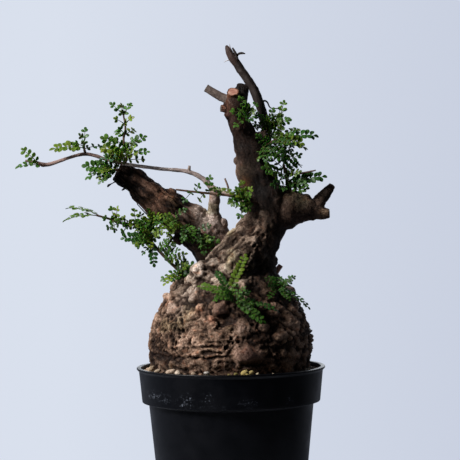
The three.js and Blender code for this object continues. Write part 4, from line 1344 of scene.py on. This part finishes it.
# Tufts of further leaves: the place on the shoot, the way they lean as x, y, z, their length and
# how many there are
TUFTS = {
    "twig_bend_spray": [(0.8, -0.5, -0.5, 0.6, 13, 2)],
    "left_crown_spray": [
        (0.1, -0.8, -0.4, 0.5, 20, 2), (0.1, 0.6, -0.5, 0.6, 16, 2), (0.12, -0.9, 0.3, 0.2, 19, 1),
        (0.35, -0.5, -0.6, 0.6, 15, 1), (0.35, 0.6, -0.5, 0.5, 14, 1), (0.6, -0.4, -0.6, 0.6, 12, 1),
        (0.8, 0.0, -0.5, 0.8, 11, 1), (1.0, -0.3, 0.0, 1.0, 10, 1),
    ],
    "left_crown_low_spray": [
        (0.9, -0.8, -0.5, 0.0, 18, 4), (0.8, -0.9, -0.4, -0.3, 15, 2), (0.6, -0.6, -0.3, 0.6, 16, 3),
    ],
    "long_left_spray": [
        (0.05, -0.5, -0.5, -0.7, 20, 5), (0.15, -0.8, -0.4, -0.5, 22, 5), (0.3, -0.7, -0.4, -0.4, 18, 3),
        (0.45, -0.6, -0.3, 0.6, 14, 3), (0.5, -0.6, 0.1, -0.6, 14, 2), (0.75, -0.5, -0.3, 0.6, 12, 2),
        (0.08, 0.6, -0.7, 0.1, 19, 4), (0.12, 0.2, -0.8, 0.5, 16, 4), (0.05, 0.1, -0.8, -0.6, 18, 2),
    ],
    "left_shoulder_spray": [
        (0.55, 0.7, -0.5, 0.4, 19, 2), (0.45, 0.3, -0.7, 0.6, 18, 3), (0.35, 0.9, -0.3, 0.1, 20, 3),
        (0.7, 0.6, -0.4, 0.7, 17, 3), (0.15, -0.7, -0.5, 0.0, 15, 2), (0.1, 0.7, -0.6, 0.2, 17, 3),
        (0.9, 0.5, -0.3, 0.6, 16, 3), (0.95, -0.5, -0.3, 0.4, 16, 5), (0.9, -0.7, -0.4, -0.2, 15, 4),
    ],
    "branch_front_spray": [
        (0.3, -0.7, -0.6, -0.2, 20, 3), (0.4, -0.5, -0.6, -0.6, 19, 3), (0.55, 0.1, -0.7, -0.6, 19, 4),
        (0.7, 0.4, -0.6, -0.5, 18, 3), (0.9, 0.6, -0.5, -0.3, 14, 3), (0.95, 0.2, -0.5, -0.9, 16, 3),
    ],
    "fork_spray": [
        (1, -0.6, -0.4, 0.5, 15, 3), (0.8, -0.6, -0.4, -0.4, 13, 4), (0.9, -0.2, -0.5, 0.8, 13, 2),
    ],
    "thin_twig_spray": [
        (0.3, -0.4, -0.5, -0.6, 12, 3), (0.2, -0.1, -0.6, 0.6, 10, 3), (0.5, -0.4, -0.4, 0.6, 9, 2),
        (0.1, -0.3, -0.6, -0.6, 14, 4), (0.15, -0.4, -0.7, 0.1, 14, 3),
    ],
    "stick_foot_spray": [
        (0.2, -0.7, -0.6, 0.3, 16, 3), (0.3, -0.5, -0.7, 0.6, 16, 3), (0.4, 0.5, -0.5, 0.5, 15, 3),
        (0.7, 0.6, -0.3, 0.5, 14, 2), (1, 0.4, 0.1, 0.8, 13, 2), (0.1, -0.5, -0.7, -0.4, 15, 3),
        (0.1, 0.4, -0.7, -0.5, 16, 3), (0.5, -0.2, -0.8, 0.3, 13, 4), (0.7, -0.4, -0.8, 0.2, 13, 3),
    ],
    "trunk_right_spray": [
        (0.4, 0.3, -0.6, -0.7, 18, 3), (0.6, 0.7, -0.3, -0.5, 19, 3), (0.5, -0.2, -0.7, 0.5, 15, 3),
        (0.8, 0.9, -0.2, 0.1, 19, 2), (0.7, 0.4, 0.4, 0.6, 14, 2), (0.3, 0.3, -0.7, -0.6, 15, 3),
        (0.9, 0.5, -0.3, 0.6, 14, 2),
    ],
    "right_branch_spray": [
        (0.2, 0.7, -0.5, 0.2, 18, 2), (0.4, 0.8, -0.3, 0.2, 20, 3), (0.6, -0.5, -0.7, 0.3, 16, 3),
        (0.7, 0.5, -0.4, 0.6, 16, 3), (0.95, 0.2, -0.4, 0.7, 14, 3), (0.3, -0.6, -0.6, 0.1, 15, 3),
    ],
    "caudex_front_spray": [
        (0.7, -0.8, -0.3, 0.4, 18, 4), (0.6, -0.7, -0.4, 0.1, 15, 3), (0.5, 0.8, -0.4, -0.1, 16, 2),
        (0.6, 0.6, -0.4, 0.2, 15, 4), (0.8, 0.2, -0.3, 0.9, 13, 2),
    ],
    "caudex_right_spray": [
        (0.8, 0.7, -0.3, 0.5, 13, 4), (0.6, -0.5, -0.5, 0.6, 13, 4), (0.8, 0.4, -0.6, -0.5, 13, 4),
        (0.5, 0.6, 0.3, 0.7, 11, 2),
    ],
    "trunk_top_spray": [
        (0.9, 0.4, -0.5, 0.7, 10, 2), (0.7, -0.6, -0.5, 0.0, 10, 2), (0.8, 0.7, -0.5, -0.2, 10, 3),
        (0.95, -0.6, -0.5, 0.6, 9, 3),
    ],
}

# A leaflet: its length as a share of its leaf's and the bounds of that in millimetres, its breadth
# as a share of its length, and its thickness
LEAFLET_SHARE = 0.29
LEAFLET_LENGTHS = (4.0, 6.0)
LEAFLET_BREADTH = 0.72
LEAFLET_THICKNESS = 0.3

# The pairs along a rib: how far apart they stand, the fewest and most of them, the share of the rib
# that their number is worked out from, and the places of the first and the last
PAIR_SPACING = 3.1
FEWEST_PAIRS, MOST_PAIRS = 2, 8
PAIRED_SHARE = 0.74
FIRST_PAIR = 0.17
LAST_PAIR = 0.9

# A rib: how high it arches as a share of its length, its radius at the root, and how much thinner
# it is at its end
ARCH_SHARE = 0.3
RIB_RADIUS = 0.42
RIB_THINNING = 0.22

SHOOT_TINT = (0.105, 0.062, 0.04)
RIB_TINT = (0.075, 0.1, 0.028)
# A bluish green that paints the sky's sheen on the shiny face of a leaf
SKY_SHEEN_GREEN = np.array([0.075, 0.15, 0.1])
OLD_GREEN = np.array([0.01, 0.044, 0.011])
MID_GREEN = np.array([0.042, 0.108, 0.013])
YOUNG_GREEN = np.array([0.16, 0.205, 0.02])


def leaflet_pattern():
    """One leaflet, 1 long and 1 across: five rings of eight points between two end points.

    The half breadth at a share u of the length is 0.5 * sin(pi * u^1.2)^0.6, so the leaflet is
    widest past its middle and round at its tip. Gives the points' shares along, across and through,
    the quads and the triangles.
    """
    u = np.array([0.06, 0.24, 0.48, 0.72, 0.91])
    half = 0.5 * np.sin(np.pi * u**1.2) ** 0.6
    turn = np.linspace(0, 2 * np.pi, 8, endpoint=False)
    rings = np.stack([
        np.repeat(u[:, None], 8, axis=1),
        half[:, None] * np.cos(turn),
        np.repeat(np.sin(turn)[None], len(u), axis=0),
    ], axis=-1)
    points, quads, tris = ring_surface(rings)
    points[-2] = (0, 0, 0)
    points[-1] = (1, 0, 0)
    return points, quads, tris


class Leaf:
    """One feathered leaf: an arched rib, and where its leaflets sit on it.

    The rib heads for the tip, and stops short of it by 0.7 of the end leaflet's length. The leaf's
    face is square to its chord: it looks to -Y, turned by that many degrees towards +Z.
    """

    def __init__(self, root, tip, turn, scale):
        self.scale = scale
        self.root = np.array(root, float)
        whole = np.linalg.norm(np.array(tip) - self.root)
        self.along = (np.array(tip) - self.root) / whole
        end_leaflet = 0.7 * scale * np.clip(LEAFLET_SHARE * whole, *LEAFLET_LENGTHS)
        self.reach = max(whole - end_leaflet, 0.6 * whole)
        front = np.array([0.0, -1.0, 0.0])
        front = unit(front - (front @ self.along) * self.along)
        upper = np.cross(self.along, front)
        upper = upper if upper[2] >= 0 else -upper
        angle = math.radians(turn)
        self.face = math.cos(angle) * front + math.sin(angle) * upper
        self.side = np.cross(self.face, self.along)

    def rib(self, share):
        """The rib at each share u of its length: along the chord, and out by 0.3 * u * (1 - u) of
        its length."""
        share = np.asarray(share, float)[..., None]
        arch = ARCH_SHARE * self.reach * share * (1 - share)
        return self.root + self.along * self.reach * share + self.face * arch

    def heading(self, share):
        """Which way the rib heads at each share u: along the chord, and out by 0.3 * (1 - 2u)."""
        share = np.asarray(share, float)[..., None]
        return unit(self.along + ARCH_SHARE * (1 - 2 * share) * self.face)

    def stalk(self):
        """The rib as a path that thins from its root."""
        share = np.linspace(0, 1, 9)
        radius = RIB_RADIUS - RIB_THINNING * share
        return np.column_stack([self.rib(share), radius])

    def leaflets(self, random):
        """Where each leaflet starts, its heading, its breadthways and upward axes, and its size.

        Pairs stand at even shares of the rib and one leaflet ends it. Each heads out at 50 to 75
        degrees from the rib, lifts a little off the leaf's plane and rolls at random.
        """
        pairs = round(PAIRED_SHARE * self.reach / (PAIR_SPACING * self.scale))
        pairs = int(np.clip(pairs, FEWEST_PAIRS, MOST_PAIRS))
        share = np.linspace(FIRST_PAIR, LAST_PAIR, pairs)
        share = np.concatenate([share, share + 0.012, [0.985]])
        hand = np.concatenate([np.ones(pairs), -np.ones(pairs), [0.0]])
        count = len(share)
        heading = self.heading(share)
        upward = np.cross(heading, self.side)
        upward = upward * np.sign((upward @ self.face))[:, None]
        open_angle = np.radians(random.uniform(50, 75, count))[:, None]
        lift = np.radians(random.uniform(0, 22, count))[:, None] * np.abs(hand)[:, None]
        out = np.cos(open_angle) * heading + np.sin(open_angle) * hand[:, None] * self.side
        out = np.where(hand[:, None] == 0, heading, out)
        out = unit(np.cos(lift) * out + np.sin(lift) * upward)
        across = unit(np.cross(upward, out))
        above = np.cross(out, across)
        roll = np.radians(random.normal(0, 10, count))[:, None]
        across, above = (np.cos(roll) * across + np.sin(roll) * above,
                         np.cos(roll) * above - np.sin(roll) * across)
        swell = 0.78 + 0.22 * np.sin(np.pi * np.clip(share, 0, 1))
        length = np.clip(LEAFLET_SHARE * self.reach, *LEAFLET_LENGTHS) * swell * self.scale
        length = length * random.uniform(0.88, 1.12, count)
        return self.rib(share), out, across, above, length


def leaf_tint(random, age, count):
    """A leaf's colour between the old green at age 0, the middle one at 0.75 and the young one past
    1, or below 0 a bluish green that paints the sky's sheen on a shiny leaf, and small steps from it
    for each of its leaflets."""
    base = OLD_GREEN + (MID_GREEN - OLD_GREEN) * np.clip(age / 0.75, 0, 1)
    base = base + (YOUNG_GREEN - base) * np.clip((age - 0.85) / 0.45, 0, 0.85)
    base = base + (SKY_SHEEN_GREEN - base) * np.clip(-age, 0, 1)
    return base * random.uniform(0.8, 1.2, (count, 1)) * random.uniform(0.94, 1.06, (count, 3))


def along_shoot(shoot, at):
    """The place at a share of the shoot's length."""
    travel = distances(shoot)
    return np.array([np.interp(at * travel[-1], travel, column) for column in shoot.T[:3]])


def listed_leaves(made, shoot, random):
    """The root, tip, turn and age of each leaf that the spray lists. One with no age of its own
    gets the spray's, and up to 1 more at random."""
    leaves = []
    for at, x, y, z, turn, *listed in made["leaves"]:
        age = listed[0] if listed else made["young"] + random.uniform(0, 1)
        leaves.append((along_shoot(shoot, at), (x, y, z), turn, age))
    return leaves


def tufted_leaves(tufts, shoot, young, random):
    """The leaves of a spray's tufts: roots close together on the shoot, and tips out along the
    tuft's lean plus 0.55 times a random direction."""
    made = []
    for at, x, y, z, length, count in tufts:
        roots = np.clip(at + random.uniform(-0.06, 0.06, count), 0.03, 1)
        leans = unit(unit(np.array([x, y, z])) + 0.55 * unit(random.normal(0, 1, (count, 3))))
        reaches = length * random.uniform(0.75, 1.15, count)
        for root, lean, reach, turn in zip(roots, leans, reaches, random.uniform(0, 65, count)):
            foot = along_shoot(shoot, root)
            made.append((foot, foot + lean * reach, turn, young + random.uniform(0, 1)))
    return made


def leaflet_points(leaf, pattern, random):
    """The points of all leaflets of a leaf, each a copy of the pattern.

    A point at the shares u along, v across and w through is start + u * length * out + v * breadth *
    across + lift * above. The lift folds the halves up by fold * |v| * breadth, adds the thickness,
    which thins towards the edge, and droops by droop * length * u^2.
    """
    start, out, across, above, length = leaf.leaflets(random)
    count = len(length)
    long = length[:, None, None]
    wide = LEAFLET_BREADTH * long
    u, v, w = pattern[None, :, 0:1], pattern[None, :, 1:2], pattern[None, :, 2:3]
    droop = random.uniform(0.0, 0.22, (count, 1, 1))
    fold = random.uniform(0.1, 0.4, (count, 1, 1))
    skin = 0.5 * LEAFLET_THICKNESS * w * (1 - 1.2 * np.abs(v))
    lift = fold * np.abs(v) * wide + skin - droop * long * u**2
    flat = start[:, None] + u * long * out[:, None] + v * wide * across[:, None]
    return flat + lift * above[:, None]


def spray(name, finishes, seed):
    """A spray's leaflets as one piece, and its shoot and ribs as another.

    The shoot's radius grows by 0.12 * |sin(pi * travel / 5)|^6 of itself at small knots. Each
    leaflet's points carry its tint, and how far across it they lie.
    """
    random = np.random.default_rng(seed)
    made = SPRAYS[name]
    pattern, quads, tris = leaflet_pattern()
    shoot = smooth_path(made["shoot"], 1.2)
    shoot[:, 3] *= 1 + 0.12 * np.abs(np.sin(np.pi * distances(shoot) / 5.0)) ** 6
    rings = tube(shoot, 8)
    stems = Mould()
    stems.add_rings(rings, value=wood_values(rings, SHOOT_TINT))
    leaflets = Mould()
    leaves = listed_leaves(made, shoot, random)
    leaves += tufted_leaves(TUFTS.get(name, []), shoot, made["young"], random)
    for root, tip, turn, age in leaves:
        leaf = Leaf(root, tip, turn, made.get("scale", 1.0))
        rings = tube(leaf.stalk(), 5, facing=leaf.side)
        stems.add_rings(rings, value=wood_values(rings, RIB_TINT))
        points = leaflet_points(leaf, pattern, random)
        values = np.empty((len(points), len(pattern), 4))
        values[..., :3] = leaf_tint(random, age, len(points))[:, None]
        values[..., 3] = 2 * np.abs(pattern[None, :, 1])
        leaflets.add_copies(points, quads, tris, values)
    place(leaflets.mesh_piece(name + "_leaflets", [finishes["leaf"]]), "leaf", name)
    place(stems.mesh_piece(name + "_stems", [finishes["twig"]]), "bark", name)


# Pot, soil and gravel

# The radius at which a turned profile ends, where its fan closes it
NEAR_AXIS = 0.01

# Scuffed places on the pot's collar: x, z, width and height of each
SCUFFS = [
    (-59, 111, 5, 2.4), (-51, 109.5, 3, 1.6), (-36, 109.5, 4, 2.6), (-33, 112, 2.5, 1.6),
    (-35, 106, 3, 1.2), (-18.5, 113, 3, 1.4), (-18, 110, 3.5, 1.2), (-13, 104.2, 9, 0.8),
    (14, 104.6, 4, 0.9), (9, 108.5, 2.5, 1.4), (16, 109, 3, 1.6), (44, 109, 3, 1.2),
]


def filled(profile, spacing):
    """The profile with more rows between its own, so that no two are further apart than spacing:
    its own places along it and the multiples of the spacing, each interpolated."""
    profile = np.array(profile, float)
    travel = np.concatenate([[0], np.cumsum(np.linalg.norm(np.diff(profile, axis=0), axis=1))])
    places = np.union1d(travel, np.arange(0, travel[-1], spacing))
    return np.column_stack([np.interp(places, travel, column) for column in profile.T])


def pot(finishes):
    """The pot's wall, collar and flared lip as one turned profile, with drain holes cut in its floor.

    The first number of each point says how scuffed it is: the listed places at the front, and
    patches of noise round the back of the collar.
    """
    slope = (BODY_TOP_RADIUS - BASE_RADIUS) / COLLAR_FOOT_HEIGHT
    profile = [
        (NEAR_AXIS, 0), (BASE_RADIUS, 0), (BODY_TOP_RADIUS, COLLAR_FOOT_HEIGHT - 1),
        (COLLAR_FOOT_RADIUS, COLLAR_FOOT_HEIGHT), (COLLAR_TOP_RADIUS, POT_HEIGHT - FLARE_DEPTH),
        (RIM_RADIUS, POT_HEIGHT - LIP_DEPTH), (RIM_RADIUS, POT_HEIGHT),
        (COLLAR_TOP_RADIUS - WALL, POT_HEIGHT), (COLLAR_TOP_RADIUS - WALL, POT_HEIGHT - FLARE_DEPTH),
        (COLLAR_FOOT_RADIUS - WALL, COLLAR_FOOT_HEIGHT + WALL),
        (BODY_TOP_RADIUS - WALL, COLLAR_FOOT_HEIGHT + WALL - 1),
        (BASE_RADIUS + slope * FLOOR_THICKNESS - WALL, FLOOR_THICKNESS), (NEAR_AXIS, FLOOR_THICKNESS),
    ]
    rings = turned(filled(rounded(profile, 0.6), 3.0), 192)
    flat = rings.reshape(-1, 3)
    at_back = step(98, 108, flat[:, 2]) * (flat[:, 1] > 5)
    worn = sum(front_patch(flat, *scuff) for scuff in SCUFFS)
    worn = worn + 0.6 * step(0.35, 0.7, noise(flat, 16.0, 301)) * at_back
    values = np.zeros((len(flat), 4))
    values[:, 0] = np.clip(worn, 0, 1)
    mould = Mould()
    mould.add_rings(rings, value=values)
    made = mould.mesh_piece("pot_shell", [finishes["plastic"]], 38)
    drills = Mould()
    for number in range(DRAIN_HOLES):
        turn = 2 * math.pi * number / DRAIN_HOLES
        drill = turned([(DRAIN_HOLE_RADIUS, -4), (DRAIN_HOLE_RADIUS, 3 * FLOOR_THICKNESS)], 32)
        drills.add_rings(drill + np.array([math.cos(turn), math.sin(turn), 0]) * DRAIN_CIRCLE_RADIUS)
    drill_set = drills.mesh_piece("drills", [finishes["plastic"]])
    cut = made.modifiers.new("drain_holes", "BOOLEAN")
    cut.operation = "DIFFERENCE"
    cut.object = drill_set
    drilled = finished_mesh(made)
    made.modifiers.clear()
    made.data = drilled
    bpy.data.objects.remove(drill_set)
    place(made, "pot_plastic", "pot")


def soil(finishes):
    """The soil: a turned body that fills the pot, its top roughened by two noises."""
    inset = WALL + SOIL_FIT
    reach = COLLAR_TOP_RADIUS - inset
    outside = [
        (NEAR_AXIS, FLOOR_THICKNESS + SOIL_FIT), (BASE_RADIUS - inset, FLOOR_THICKNESS + SOIL_FIT),
        (BODY_TOP_RADIUS - inset, COLLAR_FOOT_HEIGHT + inset - 1),
        (COLLAR_FOOT_RADIUS - inset, COLLAR_FOOT_HEIGHT + inset), (reach - 0.4, SOIL_EDGE_HEIGHT),
    ]
    radius = np.linspace(reach - 1, 30, 44)
    rise = (SOIL_MIDDLE_HEIGHT - SOIL_EDGE_HEIGHT) * step(reach, SOIL_LEVEL_RADIUS, radius)
    top = np.column_stack([radius, SOIL_EDGE_HEIGHT + rise])
    rings = turned(np.vstack([outside, top]), 220)
    rough = 0.9 * noise(rings, 4.0, 311) + 0.5 * noise(rings, 1.7, 312)
    rings[len(outside):, :, 2] += rough[len(outside):]
    mould = Mould()
    mould.add_rings(rings)
    place(mould.mesh_piece("soil_body", [finishes["soil"]]), "gravel", "soil")


# Stones that show over the front of the rim: x, y, z, size and colour
FRONT_STONES = [
    (-62.5, -25, 130.6, 3.0, (0.5, 0.38, 0.26)), (-57, -36, 130.2, 2.6, (0.42, 0.33, 0.24)),
    (-46.5, -48, 130.4, 3.6, (0.55, 0.42, 0.32)), (-41, -52, 129.7, 2.8, (0.62, 0.52, 0.42)),
    (-28.5, -61, 129.7, 2.6, (0.5, 0.38, 0.28)), (-23.5, -63, 129.0, 2.0, (0.3, 0.19, 0.13)),
    (-18, -64.5, 130.7, 2.5, (0.8, 0.76, 0.7)), (-1, -67, 129.1, 1.8, (0.16, 0.13, 0.04)),
    (4, -66, 129.6, 2.0, (0.2, 0.17, 0.05)), (10, -65, 130.8, 2.9, (0.46, 0.36, 0.13)),
    (15, -64.5, 130.8, 2.7, (0.5, 0.4, 0.16)), (20, -64.5, 129.4, 1.8, (0.5, 0.42, 0.28)),
    (12.5, -67.5, 129.2, 2.0, (0.3, 0.24, 0.07)), (-35, -57, 128.9, 2.2, (0.25, 0.17, 0.12)),
]
STONE_TINTS = np.array([
    (0.46, 0.34, 0.23), (0.56, 0.45, 0.33), (0.34, 0.23, 0.15), (0.66, 0.6, 0.52), (0.4, 0.3, 0.12),
    (0.2, 0.14, 0.1), (0.5, 0.36, 0.26),
])


def gravel(finishes):
    """Loose stones round the foot: balls of eight sides, each squashed, turned and dented by noise.

    A stone lies at a seeded angle, between the caudex and the pot's wall, on the sloping soil.
    """
    random = np.random.default_rng(17)
    turn = random.uniform(0, 2 * np.pi, GRAVEL_COUNT)
    size = random.uniform(*STONE_SIZES, GRAVEL_COUNT)
    away = random.uniform(GRAVEL_INNER_RADIUS, COLLAR_TOP_RADIUS - WALL - 0.6 - size)
    height = SOIL_EDGE_HEIGHT + 0.4 + random.uniform(0, 1.0, GRAVEL_COUNT)
    middle = np.column_stack([away * np.cos(turn), away * np.sin(turn), height])
    tint = STONE_TINTS[random.integers(0, len(STONE_TINTS), GRAVEL_COUNT)]
    tint = tint * random.uniform(0.75, 1.15, (GRAVEL_COUNT, 1))
    front = np.array([stone[:4] for stone in FRONT_STONES])
    middle = np.vstack([middle, front[:, :3]])
    size = np.concatenate([size, front[:, 3]])
    tint = np.vstack([tint, [stone[4] for stone in FRONT_STONES]])
    count = len(size)
    pattern, quads, tris = ring_surface(ball_rings((0, 0, 0), 1.0, 6, 8))
    lumps = pattern[None] * 0.9 + np.arange(count)[:, None, None] * 7.3
    shape = pattern[None] * (1 + 0.24 * noise(lumps, 0.8, 321))[..., None]
    shape = shape * random.uniform((0.9, 0.7, 0.55), (1.3, 1.0, 0.85), (count, 3))[:, None]
    spin = random.uniform(0, 2 * np.pi, count)
    cos, sin = np.cos(spin)[:, None], np.sin(spin)[:, None]
    x, y, z = shape[..., 0], shape[..., 1], shape[..., 2]
    shape = np.stack([cos * x - sin * y, sin * x + cos * y, z + 0.3 * x], axis=-1)
    points = middle[:, None] + shape * size[:, None, None]
    values = np.ones((count, len(pattern), 4))
    values[..., :3] = tint[:, None]
    stones = Mould()
    stones.add_copies(points, quads, tris, values)
    place(stones.mesh_piece("gravel_stones", [finishes["stone"]]), "gravel", "soil")


# Studio

def from_screen(red, green, blue):
    """A screen colour from 0 to 255 as the linear light that it stands for: each share of 255
    becomes ((share + 0.055) / 1.055)^2.4."""
    share = np.array([red, green, blue]) / 255
    return tuple(float(c) for c in ((share + 0.055) / 1.055) ** 2.4)


def light_world():
    """A pale blue backdrop, a little darker towards the right, seen by the camera alone. What lights
    the plant from all round is much dimmer: it is brightest behind on the left, and dark at the front."""
    world = bpy.data.worlds.new("pale_backdrop")
    bpy.context.scene.world = world
    world.use_nodes = True
    tree = world.node_tree
    tree.nodes.clear()
    towards = tree.nodes.new("ShaderNodeTexCoord")
    axes = tree.nodes.new("ShaderNodeSeparateXYZ")
    tree.links.new(towards.outputs["Generated"], axes.inputs[0])
    across = tree.nodes.new("ShaderNodeValToRGB")
    across.color_ramp.elements[0].color = (*from_screen(217, 224, 237), 1)
    across.color_ramp.elements[1].color = (*from_screen(201, 208, 224), 1)
    shift = tree.nodes.new("ShaderNodeMapRange")
    shift.inputs["From Min"].default_value = -0.09
    shift.inputs["From Max"].default_value = 0.13
    tree.links.new(axes.outputs["X"], shift.inputs["Value"])
    tree.links.new(shift.outputs["Result"], across.inputs["Fac"])
    depth = tree.nodes.new("ShaderNodeValToRGB")
    depth.color_ramp.elements[0].color = (0.012, 0.013, 0.016, 1)
    depth.color_ramp.elements[1].color = (0.22, 0.24, 0.29, 1)
    lean = tree.nodes.new("ShaderNodeMath")
    lean.operation = "MULTIPLY_ADD"
    lean.inputs[1].default_value = -0.35
    tree.links.new(axes.outputs["X"], lean.inputs[0])
    tree.links.new(axes.outputs["Y"], lean.inputs[2])
    back = tree.nodes.new("ShaderNodeMapRange")
    back.inputs["From Min"].default_value = -0.2
    back.inputs["From Max"].default_value = 0.95
    tree.links.new(lean.outputs["Value"], back.inputs["Value"])
    tree.links.new(back.outputs["Result"], depth.inputs["Fac"])
    path = tree.nodes.new("ShaderNodeLightPath")
    pick = tree.nodes.new("ShaderNodeMix")
    pick.data_type = "RGBA"
    tree.links.new(path.outputs["Is Camera Ray"], pick.inputs[0])
    tree.links.new(depth.outputs["Color"], pick.inputs[MIX_FIRST])
    tree.links.new(across.outputs["Color"], pick.inputs[MIX_SECOND])
    glow = tree.nodes.new("ShaderNodeBackground")
    output = tree.nodes.new("ShaderNodeOutputWorld")
    tree.links.new(pick.outputs[MIX_RESULT], glow.inputs["Color"])
    tree.links.new(glow.outputs["Background"], output.inputs["Surface"])


# The lights: name, direction from the plant, distance and width in metres, power and colour
LIGHTS = [
    ("window_light", (-0.72, -0.42, 0.55), 1.3, 0.36, 27.0, (1.0, 0.985, 0.97)),
    ("front_fill", (-0.35, -1.0, 0.3), 1.6, 1.0, 1.0, (0.88, 0.94, 1.0)),
    ("back_fill", (0.1, 1.0, 0.3), 1.6, 1.0, 5.5, (0.9, 0.95, 1.0)),
    ("side_fill", (1.0, 0.3, 0.45), 1.6, 1.0, 1.3, (0.9, 0.95, 1.0)),
]

# The place that the lights shine on, in metres
LIT_PLACE = np.array([0.0, 0.0, 0.22])


def soft_light(name, direction, distance, size, power, colour):
    """A square soft light that shines from that direction on the middle of the plant."""
    lamp = bpy.data.lights.new(name, "AREA")
    lamp.shape = "SQUARE"
    lamp.size = size
    lamp.energy = power
    lamp.color = colour
    back = unit(np.array(direction, float))
    side = unit(np.cross((0.0, 0.0, 1.0), back))
    up = np.cross(back, side)
    made = bpy.data.objects.new(name, lamp)
    made.matrix_world = posed(side, up, back, back * distance + LIT_PLACE)
    bpy.context.scene.collection.objects.link(made)


def lay_floor():
    """A pale round floor under the pot that fades out towards its edge. Its underside is clear."""
    fade = Recipe("floor_paper")
    place_on = fade.place_on_object()
    away = fade.node("VectorMath", operation="LENGTH")
    fade.feed(away, 0, place_on)
    axes = fade.node("SeparateXYZ")
    fade.feed(axes, "Vector", place_on)
    under = fade.spread(axes.outputs["Z"], -0.001, -0.0005, 1.0, 0.0)
    shader = fade.node("BsdfPrincipled")
    fade.feed_colour(shader, "Base Color", from_screen(162, 167, 179))
    fade.feed(shader, "Roughness", 0.9)
    clear = fade.node("BsdfTransparent")
    blend = fade.node("MixShader")
    fade.feed(blend, 0, fade.math("MAXIMUM", under, fade.spread(away.outputs["Value"], 0.1, 0.34)))
    fade.feed(blend, 1, shader.outputs["BSDF"])
    fade.feed(blend, 2, clear.outputs["BSDF"])
    fade.tree.links.new(blend.outputs["Shader"], fade.output.inputs["Surface"])
    mould = Mould()
    mould.add_rings(turned([(370, -2.0), (370, -0.05), (NEAR_AXIS, -0.05)], 96))
    mould.mesh_piece("floor", [fade.material], 30)


def light_studio():
    """Plain screen colours, the backdrop, a window's light from the upper left and weak fills."""
    bpy.context.scene.view_settings.view_transform = "Standard"
    light_world()
    for light in LIGHTS:
        soft_light(*light)


aim_camera()
light_studio()
lay_floor()
finishes = {
    "bark": bark_finish(),
    "cut": cut_finish(),
    "old_cut": old_cut_finish(),
    "twig": twig_finish(),
    "leaf": leaf_finish(),
    "plastic": plastic_finish(),
    "stone": stone_finish(),
    "soil": soil_finish(),
}
wood_body(finishes["bark"])
thin_wood(finishes)
for number, name in enumerate(SPRAYS):
    spray(name, finishes, 401 + number)
pot(finishes)
soil(finishes)
gravel(finishes)
